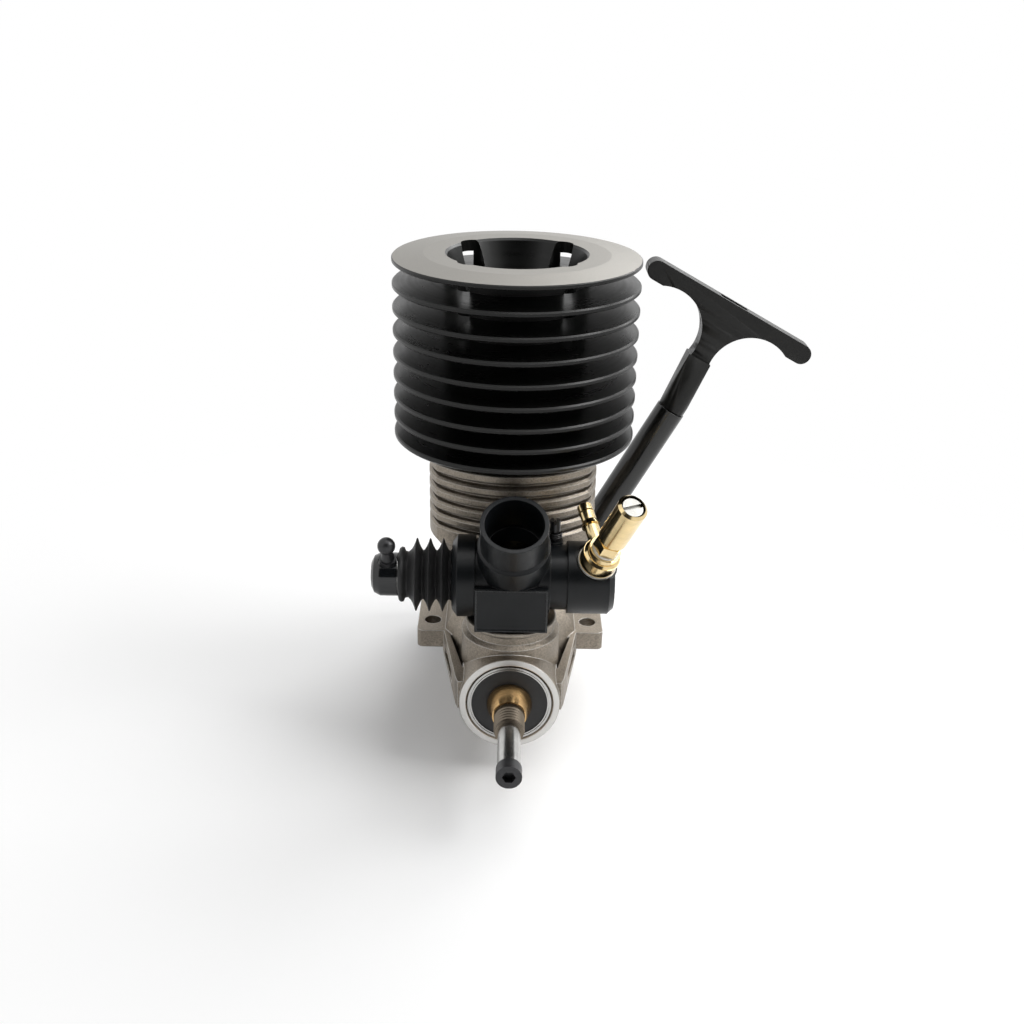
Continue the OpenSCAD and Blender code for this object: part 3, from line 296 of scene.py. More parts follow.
def rounded_edges(tree, width):
    """Rounded normal, and a mask that is 1 on sharp outer edges."""
    rounded = join_node(tree, "ShaderNodeBevel", {"Radius": width}, samples=4).outputs["Normal"]
    normal = join_node(tree, "ShaderNodeNewGeometry").outputs["Normal"]
    turn = join_node(tree, "ShaderNodeVectorMath", {0: rounded, 1: normal},
                     operation="DOT_PRODUCT").outputs["Value"]
    return rounded, spread(tree, turn, 0.80, 0.985, 1.0, 0.0)


def new_finish(name):
    finish = bpy.data.materials.new(name)
    finish.use_nodes = True
    return finish, finish.node_tree, finish.node_tree.nodes["Principled BSDF"]


def add_bump(tree, shader, height, depth, normal=None):
    """Raises the surface by a height pattern, depth metres at most."""
    sockets = {"Height": height, "Distance": depth, "Strength": 1.0}
    if normal is not None:
        sockets["Normal"] = normal
    tree.links.new(join_node(tree, "ShaderNodeBump", sockets).outputs["Normal"], shader.inputs["Normal"])


def turned_metal(name, colour, roughness, axis, marks=0.000001, metallic=1.0, oily=None):
    """Bare or plated metal off a lathe: tool marks round its axis, cloudy handling marks, oil in a thread."""
    finish, tree, shader = new_finish(name)
    local, _, height, rings = lathe_coordinates(tree, axis)
    fine = noise(tree, rings, 0.00035, 1.0)
    broad = noise(tree, rings, 0.0014, 2.0)
    cloud = noise(tree, local, 0.0035, 4.0, 0.6)
    tone = blend_colour(tree, spread(tree, cloud, 0.3, 0.7, 0, 1), rgba(colour, 0.86), rgba(colour, 1.05))
    tone = blend_colour(tree, spread(tree, broad, 0.5, 0.75, 0, 0.3), tone, rgba(colour, 0.7))
    gloss = spread(tree, math_node(tree, "ADD", broad, cloud), 0.7, 1.3, roughness * 0.8, roughness * 1.25)
    if oily:
        band = math_node(tree, "MULTIPLY", math_node(tree, "GREATER_THAN", height, oily[0]),
                         math_node(tree, "LESS_THAN", height, oily[1]))
        tone = blend_colour(tree, band, tone, rgba((0.19, 0.16, 0.125)))
        gloss = blend_value(tree, band, gloss, 0.35)
    tree.links.new(tone, shader.inputs["Base Color"])
    tree.links.new(gloss, shader.inputs["Roughness"])
    shader.inputs["Metallic"].default_value = metallic
    add_bump(tree, shader, math_node(tree, "ADD", fine, broad), marks)
    return finish


def cast_metal(name, colour, roughness, machined):
    """Bead-blasted casting with a cut face at the snout."""
    finish, tree, shader = new_finish(name)
    _, _, height, rings = lathe_coordinates(tree, "crank")
    rounded, sharp_edges = rounded_edges(tree, 0.00035)
    place = join_node(tree, "ShaderNodeTexCoord").outputs["Object"]
    grain = noise(tree, place, 0.00032, 3.0, 0.6)
    lumps = noise(tree, place, 0.0014, 2.0)
    cloud = noise(tree, place, 0.007, 4.0, 0.6)
    pits = join_node(tree, "ShaderNodeTexVoronoi", {"Vector": place, "Scale": 1 / 0.0008},
                     feature="F1").outputs["Distance"]
    tone = blend_colour(tree, spread(tree, cloud, 0.32, 0.68, 0, 1), rgba(colour, 0.78), rgba(colour, 1.15))
    tone = blend_colour(tree, spread(tree, grain, 0.35, 0.6, 0.7, 0), tone, rgba(colour, 0.42))
    # Sharp edges shift to the cut colour: partly rubbed bare, partly painted highlight along the edges and ribs.
    tone = blend_colour(tree, math_node(tree, "MULTIPLY", sharp_edges, 0.85), tone, rgba(machined, 1.0))
    case_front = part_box("crankcase")[0].y
    cut_depth = 0.12 * MM
    cut_face = math_node(tree, "LESS_THAN", height, case_front + cut_depth)
    tone = blend_colour(tree, cut_face, tone, rgba(machined))
    tree.links.new(tone, shader.inputs["Base Color"])
    gloss = spread(tree, cloud, 0.3, 0.7, roughness * 0.85, roughness * 1.2)
    gloss = blend_value(tree, cut_face, gloss, 0.3)
    tree.links.new(gloss, shader.inputs["Roughness"])
    shader.inputs["Metallic"].default_value = 1.0
    rough = math_node(tree, "ADD", math_node(tree, "ADD", grain, lumps), math_node(tree, "MULTIPLY", pits, 0.6))
    rough = blend_value(tree, cut_face, rough, math_node(tree, "MULTIPLY", noise(tree, rings, 0.0002), 0.3))
    add_bump(tree, shader, rough, 0.00005, rounded)
    return finish


def anodised_head(name, colour, roughness, plate_reflection_colour, plate_roughness):
    """Black anodised turning. Its upward-facing top plate is painted paler, a painted reflection of the lamp
    behind on the black face, with a blasted grain and roughness; its sharp fin edges are painted grey, partly
    anodising rubbed through and partly painted highlight.
    """
    finish, tree, shader = new_finish(name)
    local, radius, height, rings = lathe_coordinates(tree, "cylinder")
    _, sharp_edges = rounded_edges(tree, 0.0001)
    normal = join_node(tree, "ShaderNodeNewGeometry").outputs["Normal"]
    up = join_node(tree, "ShaderNodeSeparateXYZ", {0: normal}).outputs[2]
    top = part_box("cooling_head")[1].z
    bowl_r = 15.8 * MM
    blasted_depth = 0.95 * MM
    # Mask of the upward-facing top face beyond the bowl, which gets the pale colour of painted reflection.
    face = math_node(tree, "MULTIPLY", math_node(tree, "GREATER_THAN", height, top - blasted_depth),
                     math_node(tree, "GREATER_THAN", up, 0.8))
    face = math_node(tree, "MULTIPLY", face, math_node(tree, "GREATER_THAN", radius, bowl_r))
    cloud = noise(tree, local, 0.009, 3.0, 0.6)
    grain = noise(tree, local, 0.00028, 3.0, 0.65)
    fine = noise(tree, rings, 0.00018, 1.0)
    broad = noise(tree, rings, 0.0009, 2.0)
    black = blend_colour(tree, spread(tree, cloud, 0.3, 0.7, 0, 1), rgba(colour, 0.8), rgba(colour, 1.25))
    # Sharp fin edges painted grey: partly anodising rubbed through, partly painted highlight along the fin rims.
    black = blend_colour(tree, math_node(tree, "MULTIPLY", sharp_edges, 0.8), black, rgba((0.16, 0.16, 0.155)))
    # Pale colour of the top face, varied by grain: painted reflection of the lamp behind.
    pale = blend_colour(tree, spread(tree, grain, 0.3, 0.7, 0, 1), rgba(plate_reflection_colour, 0.88),
                        rgba(plate_reflection_colour, 1.12))
    tone = blend_colour(tree, face, black, pale)
    tree.links.new(tone, shader.inputs["Base Color"])
    gloss = spread(tree, math_node(tree, "ADD", broad, cloud), 0.7, 1.3, roughness * 0.85, roughness * 1.2)
    blasted = spread(tree, grain, 0.3, 0.7, plate_roughness * 0.9, plate_roughness * 1.1)
    gloss = blend_value(tree, face, gloss, blasted)
    tree.links.new(gloss, shader.inputs["Roughness"])
    tree.links.new(blend_value(tree, face, 0.3, 0.85), shader.inputs["Metallic"])
    shader.inputs["Specular IOR Level"].default_value = 0.4
    marks = math_node(tree, "MULTIPLY", math_node(tree, "ADD", fine, broad), 0.1)
    relief = blend_value(tree, face, marks, grain)
    add_bump(tree, shader, relief, 0.000012)
    return finish


def moulded_plastic(name, colour, roughness, grain_depth=0.000006, specular=0.3, pale_edge_share=0.35):
    """Moulded composite: faint cloudy gloss, fine skin, sharp edges paler by a share; at small shares they are
    rubbed paler, at the full share on the front panel's rim they are partly rubbed and partly painted highlight.
    """
    finish, tree, shader = new_finish(name)
    place = join_node(tree, "ShaderNodeTexCoord").outputs["Object"]
    rounded, sharp_edges = rounded_edges(tree, 0.0003)
    skin = noise(tree, place, 0.00035, 3.0, 0.6)
    cloud = noise(tree, place, 0.006, 3.0)
    flow = noise(tree, place, 0.0022, 2.0)
    tone = blend_colour(tree, spread(tree, cloud, 0.3, 0.7, 0, 1), rgba(colour, 0.85), rgba(colour, 1.2))
    pale_edge_tone = tuple(c * 2.0 + 0.008 for c in colour[:3])
    # Sharp edges paler by the share: rubbed edges, and on the front panel's rim painted highlight as well.
    tone = blend_colour(tree, math_node(tree, "MULTIPLY", sharp_edges, pale_edge_share), tone, rgba(pale_edge_tone))
    tree.links.new(tone, shader.inputs["Base Color"])
    gloss = spread(tree, math_node(tree, "ADD", skin, flow), 0.7, 1.3, roughness * 0.82, roughness * 1.2)
    tree.links.new(gloss, shader.inputs["Roughness"])
    shader.inputs["Specular IOR Level"].default_value = specular
    relief = math_node(tree, "ADD", skin, math_node(tree, "MULTIPLY", flow, 2.0))
    add_bump(tree, shader, relief, grain_depth, rounded)
    return finish


def dusty_rubber(name, colour, roughness):
    """Moulded rubber with a dry bloom on its high edges."""
    finish, tree, shader = new_finish(name)
    place = join_node(tree, "ShaderNodeTexCoord").outputs["Object"]
    rounded, sharp_edges = rounded_edges(tree, 0.0003)
    grit = noise(tree, place, 0.00025, 4.0, 0.7)
    cloud = noise(tree, place, 0.0030, 3.0)
    tone = blend_colour(tree, spread(tree, cloud, 0.3, 0.7, 0, 1), rgba(colour, 0.75), rgba(colour, 1.35))
    tone = blend_colour(tree, math_node(tree, "MULTIPLY", sharp_edges, 0.3), tone, rgba((0.07, 0.07, 0.072)))
    tree.links.new(tone, shader.inputs["Base Color"])
    tree.links.new(spread(tree, grit, 0.3, 0.7, roughness * 0.85, roughness * 1.15), shader.inputs["Roughness"])
    shader.inputs["Sheen Weight"].default_value = 0.05
    shader.inputs["Sheen Roughness"].default_value = 0.5
    add_bump(tree, shader, grit, 0.00001, rounded)
    return finish


def nylon(name, colour):
    """White nylon, slightly cloudy and soft to light."""
    finish, tree, shader = new_finish(name)
    place = join_node(tree, "ShaderNodeTexCoord").outputs["Object"]
    cloud = noise(tree, place, 0.0015, 3.0)
    grit = noise(tree, place, 0.0002, 2.0)
    tone = blend_colour(tree, spread(tree, cloud, 0.3, 0.7, 0, 1), rgba(colour, 0.94), rgba(colour, 1.03))
    tree.links.new(tone, shader.inputs["Base Color"])
    tree.links.new(spread(tree, grit, 0.3, 0.7, 0.38, 0.5), shader.inputs["Roughness"])
    add_bump(tree, shader, grit, 0.000004)
    return finish


def braid(name, colour, plaits, rows):
    """Braided cord read from the piece's own UV map: strands cross in two slanting sets."""
    finish, tree, shader = new_finish(name)
    along = join_node(tree, "ShaderNodeUVMap", uv_map="cord").outputs["UV"]
    parts = join_node(tree, "ShaderNodeSeparateXYZ", {0: along}).outputs
    around = math_node(tree, "MULTIPLY", parts[0], plaits * math.tau)
    down = math_node(tree, "MULTIPLY", parts[1], rows * math.tau)
    left = math_node(tree, "ABSOLUTE", math_node(tree, "SINE", math_node(tree, "ADD", around, down)))
    right = math_node(tree, "ABSOLUTE", math_node(tree, "SINE", math_node(tree, "SUBTRACT", around, down)))
    over = math_node(tree, "MAXIMUM", left, right)
    fibre = noise(tree, along, 0.004, 3.0)
    # Strand crowns painted lighter and the gaps between strands darker, following the strand height: painted
    # highlight and painted shade.
    tone = blend_colour(tree, over, rgba(colour, 0.4), rgba(colour, 1.6))
    tone = blend_colour(tree, spread(tree, fibre, 0.45, 0.75, 0, 0.4), tone, rgba((0.16, 0.16, 0.16)))
    tree.links.new(tone, shader.inputs["Base Color"])
    tree.links.new(spread(tree, over, 0, 1, 0.9, 0.6), shader.inputs["Roughness"])
    shader.inputs["Sheen Weight"].default_value = 0.15
    add_bump(tree, shader, over, 0.0001)
    return finish


METALS = {
    # slot: (colour property, roughness, mark depth in metres, metallic)
    "bearing_steel": ("steel_colour", 0.2, 0.0000012, 1.0),
    "ground_steel": ("steel_colour", 0.24, 0.0000015, 1.0),
    "plated_steel": ("plated_colour", 0.26, 0.0000015, 1.0),
    "machined_alloy": ("alloy_colour", 0.34, 0.000003, 1.0),
    "brass": ("brass_colour", 0.14, 0.0000015, 1.0),
    "black_oxide_steel": ("oxide_colour", 0.34, 0.000002, 0.7),
}

METAL_NODES = {
    "bearing_steel": {"crank": ("front_bearing_outer", "front_bearing_inner", "front_bearing_balls",
                                "rear_bearing_outer", "rear_bearing_inner", "rear_bearing_balls",
                                "one_way_bearing"),
                      "wrist pin": ("wrist_pin",)},
    "ground_steel": {"crank": ("crank_pin", "starter_shaft"),
                     "slide": ("throttle_slide",)},
    "black_oxide_steel": {"cylinder": ("head_screws",),
                          "crank": ("clutch_screw", "starter_screws", "drive_plate"),
                          "pinch": ("pinch_bolt",), "wrist pin": ("wrist_pin_clips",),
                          "stud": ("throttle_ball_stud",), "idle": ("idle_stop_screw",)},
    "plated_steel": {"cylinder": ("glow_plug", "glow_plug_terminal"), "pinch": ("pinch_nut",),
                     "crank": ("recoil_spring",)},
    "machined_alloy": {"cylinder": ("head_gasket", "piston", "head_button"), "wrist pin": ("connecting_rod",)},
    "brass": {"cylinder": ("cylinder_sleeve", "plug_washer"), "crank": ("backplate_bush", "big_end_bush"),
              "wrist pin": ("small_end_bush",), "needle": ("needle_housing",), "nipple": ("fuel_nipple",),
              "slide": ("low_speed_needle", "spray_bar")},
}

PLASTIC_NODES = {
    "satin_composite": ("carburettor_body", "slide_guide", "venturi_reducer"),
    "starter_composite": ("starter_case", "cord_spool", "pull_handle"),
    "tube_composite": ("guide_tube",),
    "gloss_composite": ("throttle_end_cap",),
    "seal_rubber": ("carburettor_oring", "needle_oring", "backplate_seal", "front_bearing_seal"),
}

CAMERA_PLACE = (-0.00181, -0.27355, 0.15312)
CAMERA_TURN = (65.8616, -1.0549, 0.0987)
# Nearer the engine than the first radius the floor keeps its shadow, and past the second it is plain white.
FLOOR_SHADE_R = 0.055
FLOOR_WHITE_R = 0.19
LAMP_AIM = Vector((0, 0, 0.035))
LAMPS = {
    # lamp: (place, power property, size in metres)
    "back_softbox": ((0.34, 0.50, 0.58), "back_light", 0.5),
    "top_softbox": ((0.15, 0.05, 0.75), "top_light", 0.5),
    "side_softbox": ((0.55, -0.08, 0.52), "side_light", 0.4),
    "front_softbox": ((-0.45, -0.5, 0.45), "front_light", 0.5),
}


def colour_property(name, description, default):
    return FloatVectorProperty(name=name, description=description, default=default, size=3, min=0.0, max=1.0,
                               subtype="COLOR")


class EngineFinishes(bpy.types.PropertyGroup):
    """Colours and gloss of the engine's materials."""

    casting_colour: colour_property("Casting", "Blasted aluminium of the crankcase", (0.33, 0.29, 0.24))
    cut_colour: colour_property("Cut faces", "Aluminium where a tool has cut the casting", (0.62, 0.61, 0.59))
    anodised_colour: colour_property("Anodising", "Black of the cooling fins", (0.006, 0.0062, 0.0058))
    # Pale top plate colour: painted reflection of the lamp behind on the black anodised face.
    plate_reflection_colour: colour_property("Top plate", "Blasted top face of the cooling head", (0.235, 0.225, 0.205))
    steel_colour: colour_property("Steel", "Ground and bearing steel", (0.52, 0.515, 0.50))
    plated_colour: colour_property("Plating", "Nickel plated steel", (0.66, 0.65, 0.61))
    alloy_colour: colour_property("Alloy", "Machined aluminium inside the engine", (0.70, 0.70, 0.70))
    brass_colour: colour_property("Brass", "Turned brass of needle, nipple and collet", (0.84, 0.66, 0.36))
    collet_colour: colour_property("Collet", "Warm brass of the flywheel collet", (0.66, 0.43, 0.20))
    needle_colour: colour_property("Needle", "Grey steel of the main needle's head", (0.30, 0.295, 0.28))
    oxide_colour: colour_property("Black oxide", "Blackened steel of the screws", (0.05, 0.05, 0.052))
    composite_colour: colour_property("Carburettor body", "Moulded composite", (0.006, 0.0072, 0.0083))
    starter_colour: colour_property("Starter", "Moulded composite of starter, tube and handle",
                                    (0.007, 0.007, 0.0062))
    rubber_colour: colour_property("Rubber", "Boot and seals", (0.008, 0.008, 0.0085))
    nylon_colour: colour_property("Nylon", "Washers of the needle body", (0.84, 0.82, 0.77))
    cord_colour: colour_property("Cord", "Braided starter cord", (0.03, 0.03, 0.031))
    casting_roughness: FloatProperty(name="Casting roughness", description="Roughness of the blasted casting",
                                     default=0.46, min=0.05, max=1.0, subtype="FACTOR")
    anodised_roughness: FloatProperty(name="Anodising roughness", description="Roughness of the fins",
                                      default=0.30, min=0.05, max=1.0, subtype="FACTOR")
    plate_roughness: FloatProperty(name="Top plate roughness", description="Roughness of the blasted top plate",
                                   default=0.42, min=0.05, max=1.0, subtype="FACTOR")
    composite_roughness: FloatProperty(name="Composite roughness", description="Roughness of the carburettor body",
                                       default=0.34, min=0.05, max=1.0, subtype="FACTOR")


class EnginePieces(bpy.types.PropertyGroup):
    """Sizes of the soft and fine pieces."""

    boot_folds: IntProperty(name="Boot folds", description="Number of folds of the rubber boot", default=3,
                            min=2, max=6)
    boot_wall: FloatProperty(name="Boot wall", description="Thickness of the rubber boot", default=0.65 * MM,
                             min=0.3 * MM, max=1.0 * MM, unit="LENGTH", precision=5)
    cord_diameter: FloatProperty(name="Cord", description="Diameter of the starter cord", default=1.8 * MM,
                                 min=1.0 * MM, max=2.4 * MM, unit="LENGTH", precision=5)
    winding_turns: FloatProperty(name="Winding", description="Turns of cord in each layer on the spool",
                                 default=1.9, min=1.0, max=2.0)
    spring_wire: FloatProperty(name="Spring wire", description="Wire of the idle screw's spring",
                               default=0.45 * MM, min=0.2 * MM, max=0.6 * MM, unit="LENGTH", precision=5)
    spring_turns: FloatProperty(name="Spring turns", description="Turns of the idle screw's spring",
                                default=3.0, min=2.0, max=5.0)
    panel_rim: FloatProperty(name="Panel rim", description="Width of the raised rim on the front plate",
                             default=0.4 * MM, min=0.2 * MM, max=1.2 * MM, unit="LENGTH", precision=5)
    handle_edge: FloatProperty(name="Handle edge", description="Rounding of the pull handle's edges",
                               default=0.45 * MM, min=0.1 * MM, max=1.0 * MM, unit="LENGTH", precision=5)


class EngineStudio(bpy.types.PropertyGroup):
    """Floor, lamps and camera."""

    floor_colour: colour_property("Floor", "Pale floor", (0.82, 0.82, 0.82))
    back_light: FloatProperty(name="Back light", description="Power of the large soft lamp behind", default=4.6,
                              min=0.0, max=40.0, unit="POWER")
    side_light: FloatProperty(name="Side light", description="Power of the soft lamp on the right", default=3.6,
                              min=0.0, max=40.0, unit="POWER")
    front_light: FloatProperty(name="Front light", description="Power of the soft lamp in front", default=0.2,
                               min=0.0, max=40.0, unit="POWER")
    top_light: FloatProperty(name="Top light", description="Power of the soft lamp overhead", default=1.4,
                             min=0.0, max=40.0, unit="POWER")
    ambient: FloatProperty(name="Ambient", description="Light of the surroundings on the engine", default=0.22,
                           min=0.0, max=2.0)
    floor_lift: FloatProperty(name="Floor lift", description="White that the floor's own colour adds to a view",
                              default=0.18, min=0.0, max=1.0)
    camera_lens: FloatProperty(name="Lens", description="Focal length of the camera in millimetres",
                               default=43.2, min=20.0, max=120.0)


class ENGINE_OT_metal_finishes(bpy.types.Operator):
    """Gives the castings, turnings and screws their metal finishes"""

    bl_idname = "glow_engine.metal_finishes"
    bl_label = "Metal finishes"

    def execute(self, context):
        look = context.scene.engine_finishes
        case = cast_metal("blasted_casting", look.casting_colour, look.casting_roughness, look.cut_colour)
        head = anodised_head("anodised_head", look.anodised_colour, look.anodised_roughness, look.plate_reflection_colour,
                             look.plate_roughness)
        for node in ("crankcase", "starter_backplate"):
            paint(NODES[node], case, "cast_aluminium")
        paint(NODES["cooling_head"], head, "black_anodised")
        thread_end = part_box("flywheel_collet")[0].y - 0.1 * MM
        thread_length = 6.2 * MM
        crank = turned_metal("crank_steel", look.steel_colour, 0.2, "crank",
                             oily=(thread_end - thread_length, thread_end))
        paint(NODES["crankshaft"], crank, "ground_steel")
        needle = turned_metal("needle_steel", look.needle_colour, 0.3, "needle")
        paint(NODES["high_speed_needle"], needle, "ground_steel")
        collet = turned_metal("collet_bronze", look.collet_colour, 0.2, "crank")
        paint(NODES["flywheel_collet"], collet, "brass")
        for slot, groups in METAL_NODES.items():
            colour, roughness, marks, metallic = METALS[slot]
            for axis, nodes in groups.items():
                name = slot + "_" + axis.replace(" ", "_")
                finish = turned_metal(name, getattr(look, colour), roughness, axis, marks, metallic)
                for node in nodes:
                    paint(NODES[node], finish, slot)
        return {"FINISHED"}


class ENGINE_OT_plastic_finishes(bpy.types.Operator):
    """Gives the moulded parts, seals and washers their finishes"""

    bl_idname = "glow_engine.plastic_finishes"
    bl_label = "Plastic and rubber finishes"

    def execute(self, context):
        look = context.scene.engine_finishes
        body, starter = look.composite_colour, look.starter_colour
        finishes = {
            "satin_composite": (moulded_plastic("satin_composite", body, look.composite_roughness),
                                "black_composite"),
            "starter_composite": (moulded_plastic("starter_composite", starter, 0.32), "black_composite"),
            "tube_composite": (moulded_plastic("tube_composite", starter, 0.16, grain_depth=0.000003,
                                               specular=0.55), "black_composite"),
            "gloss_composite": (moulded_plastic("gloss_composite", body, 0.11, grain_depth=0.000002,
                                                specular=0.6), "black_composite"),
            "seal_rubber": (dusty_rubber("seal_rubber", look.rubber_colour, 0.5), "rubber"),
        }
        for key, nodes in PLASTIC_NODES.items():
            for node in nodes:
                paint(NODES[node], *finishes[key])
        paint(NODES["banjo_washers"], nylon("washer_nylon", look.nylon_colour), "white_nylon")
        return {"FINISHED"}


class ENGINE_OT_rubber_boot(bpy.types.Operator):
    """Moulds the bellows between the throttle's guide and its end cap"""

    bl_idname = "glow_engine.rubber_boot"
    bl_label = "Rubber boot"

    def execute(self, context):
        size = context.scene.engine_pieces
        low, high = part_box("rubber_boot")
        length = high.x - low.x
        peak = (high.z - low.z) / 2
        root = peak - 2.8 * MM
        lip = root + 0.75 * MM
        neck = 2.5 * MM
        outer = [(0.0, lip - 0.9 * MM), (0.15 * MM, lip - 0.3 * MM), (0.6 * MM, lip), (1.1 * MM, lip - 0.1 * MM),
                 (1.5 * MM, root - 0.2 * MM), (neck - 0.35 * MM, root - 0.35 * MM)]
        fold = (length - neck - 0.5 * MM) / size.boot_folds
        for i in range(size.boot_folds):
            start = neck + fold * i
            for share, lift in ((0.0, 0.0), (0.10, 0.09), (0.25, 0.36), (0.38, 0.68), (0.46, 0.95), (0.5, 1.0),
                                (0.54, 0.95), (0.62, 0.68), (0.75, 0.36), (0.90, 0.09)):
                outer.append((start + fold * share, root + (peak - root) * lift))
        outer += [(length - 0.5 * MM, root), (length - 0.15 * MM, root + 0.35 * MM), (length, root + 0.2 * MM)]
        wall = size.boot_wall
        bore = root - wall
        inner = [(length, bore - 0.05 * MM)]
        for i in reversed(range(size.boot_folds)):
            start = neck + fold * i
            for share, lift in ((0.90, 0.0), (0.62, 0.42), (0.5, 0.72), (0.38, 0.42), (0.10, 0.0)):
                inner.append((start + fold * share, bore + (peak - root) * lift))
        inner.append((0.0, bore - 0.1 * MM))
        boot = raise_profile("boot_bellows", outer + inner + [outer[0]], 96, closed=True)
        centre = (low + high) / 2
        set_in_place(boot, placing(Vector((low.x, centre.y, centre.z)), Vector((1, 0, 0))), math.radians(55))
        finish = dusty_rubber("boot_rubber", context.scene.engine_finishes.rubber_colour, 0.55)
        paint(boot, finish, "rubber")
        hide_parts("rubber_boot")
        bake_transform(boot)
        return {"FINISHED"}


def draw_cord(name, stations, lobes, place):
    """Round cord along local Z with a UV map that runs round and along it."""
    step = stations[1][0] - stations[0][0]
    cord = raise_profile(name, stations, lobes)
    pick(cord)
    bpy.ops.object.mode_set(mode="EDIT")
    bpy.ops.mesh.select_all(action="DESELECT")
    bpy.ops.mesh.select_non_manifold()
    bpy.ops.mesh.edge_face_add()
    bpy.ops.mesh.select_all(action="SELECT")
    bpy.ops.mesh.normals_make_consistent(inside=False)
    bpy.ops.object.mode_set(mode="OBJECT")
    run = cord.data.uv_layers.new(name="cord")
    for face in cord.data.polygons:
        angles = []
        for corner in face.loop_indices:
            spot = cord.data.vertices[cord.data.loops[corner].vertex_index].co
            angles.append((math.atan2(spot.y, spot.x) / math.tau) % 1.0)
        wraps = max(angles) - min(angles) > 0.5
        for corner, angle in zip(face.loop_indices, angles):
            spot = cord.data.vertices[cord.data.loops[corner].vertex_index].co
            run.data[corner].uv = (angle + (1.0 if wraps and angle < 0.5 else 0.0), spot.z / step * 0.05)
    return set_in_place(cord, place, math.radians(60))


class ENGINE_OT_pull_cord(bpy.types.Operator):
    """Draws the braided cord from the spool to the handle, its windings and its knot"""

    bl_idname = "glow_engine.pull_cord"
    bl_label = "Starter cord"

    def execute(self, context):
        size = context.scene.engine_pieces
        colour = context.scene.engine_finishes.cord_colour
        _, pull = PULL_AXIS
        low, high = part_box("pull_cord")
        middle_point = (low + high) / 2
        half = (high - low).dot(pull) / 2 - size.cord_diameter * 0.2
        count = 120
        stations = [(-half + 2 * half * i / count, size.cord_diameter / 2 * (0.97 if i % 2 else 1.0))
                    for i in range(count + 1)]
        finish = braid("cord_braid", colour, 4, 22)
        cord = draw_cord("starter_cord", stations, 16, placing(middle_point, pull))
        paint(cord, finish, "braided_cord")
        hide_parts("pull_cord")
        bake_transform(cord)

        low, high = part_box("cord_winding")
        outer_r = (high.x - low.x) / 2 - size.cord_diameter / 2
        layers = []
        for layer, turns in ((0, size.winding_turns), (1, size.winding_turns)):
            radius = outer_r - layer * (size.cord_diameter + 0.05 * MM)
            coil = wind("winding_layer", size.cord_diameter, radius, size.cord_diameter * 1.02, turns, 72)
            run = coil.data.uv_layers.new(name="cord")
            for corner, link in enumerate(coil.data.loops):
                spot = coil.data.vertices[link.vertex_index].co
                bearing = (math.atan2(spot.y, spot.x) / math.tau) % 1.0
                run.data[corner].uv = (math.hypot(spot.x, spot.y) / size.cord_diameter, bearing * 2.0)
            middle_y = (low.y + high.y) / 2 - size.cord_diameter * 1.02 * turns / 2
            set_in_place(coil, placing(Vector((0, middle_y, 0)), Vector((0, 1, 0)), layer * 1.3))
            layers.append(coil)
        deselect()
        for coil in layers:
            coil.select_set(True)
        bpy.context.view_layer.objects.active = layers[0]
        bpy.ops.object.join()
        winding = layers[0]
        winding.name = "cord_winding_turns"
        paint(winding, finish, "braided_cord")
        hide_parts("cord_winding")
        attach(winding, "spool")

        low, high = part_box("cord_knot")
        knot_middle = (low + high) / 2
        knot_r = (high.x - low.x) / 2
        bights = []
        for tilt, spin in ((0.35, 0.0), (-0.5, 1.9)):
            deselect()
            bpy.ops.mesh.primitive_torus_add(major_segments=32, minor_segments=14, major_radius=knot_r * 0.52,
                                             minor_radius=knot_r * 0.44, location=(0, 0, 0),
                                             rotation=(tilt, tilt * 0.6, spin))
            bight = bpy.context.object
            bpy.ops.object.transform_apply(location=True, rotation=True, scale=True)
            bights.append(bight)
        deselect()
        for bight in bights:
            bight.select_set(True)
        bpy.context.view_layer.objects.active = bights[0]
        bpy.ops.object.join()
        knot = bights[0]
        knot.name = "cord_end_knot"
        knot.data.uv_layers[0].name = "cord"
        set_in_place(knot, placing(knot_middle, pull), math.radians(60))
        paint(knot, finish, "braided_cord")
        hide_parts("cord_knot")
        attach(knot, "handle")
        return {"FINISHED"}


class ENGINE_OT_pull_handle(bpy.types.Operator):
    """Rounds the edges of the starter's pull handle"""

    bl_idname = "glow_engine.pull_handle"
    bl_label = "Pull handle"

    def execute(self, context):
        source = NODES["pull_handle"]
        deselect()
        handle = source.copy()
        handle.data = source.data.copy()
        for key in list(handle.keys()):
            del handle[key]
        handle.parent = None
        handle.name = "starter_handle"
        bpy.context.scene.collection.objects.link(handle)
        pick(handle)
        bpy.ops.object.mode_set(mode="EDIT")
        bpy.ops.mesh.select_all(action="SELECT")
        bpy.ops.mesh.remove_doubles(threshold=2e-6)
        bpy.ops.mesh.dissolve_limited(angle_limit=math.radians(1.5))
        bpy.ops.object.mode_set(mode="OBJECT")
        edge = handle.modifiers.new("edge", "BEVEL")
        edge.width = context.scene.engine_pieces.handle_edge
        edge.segments = 3
        edge.limit_method = "ANGLE"
        edge.angle_limit = math.radians(38)
        edge.use_clamp_overlap = True
        finish_modifiers(handle)
        bpy.ops.object.shade_smooth_by_angle(angle=math.radians(35))
        colour = context.scene.engine_finishes.starter_colour
        finish = moulded_plastic("handle_composite", colour, 0.36, grain_depth=0.000008)
        paint(handle, finish, "black_composite")
        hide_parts("pull_handle")
        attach(handle, "handle")
        return {"FINISHED"}


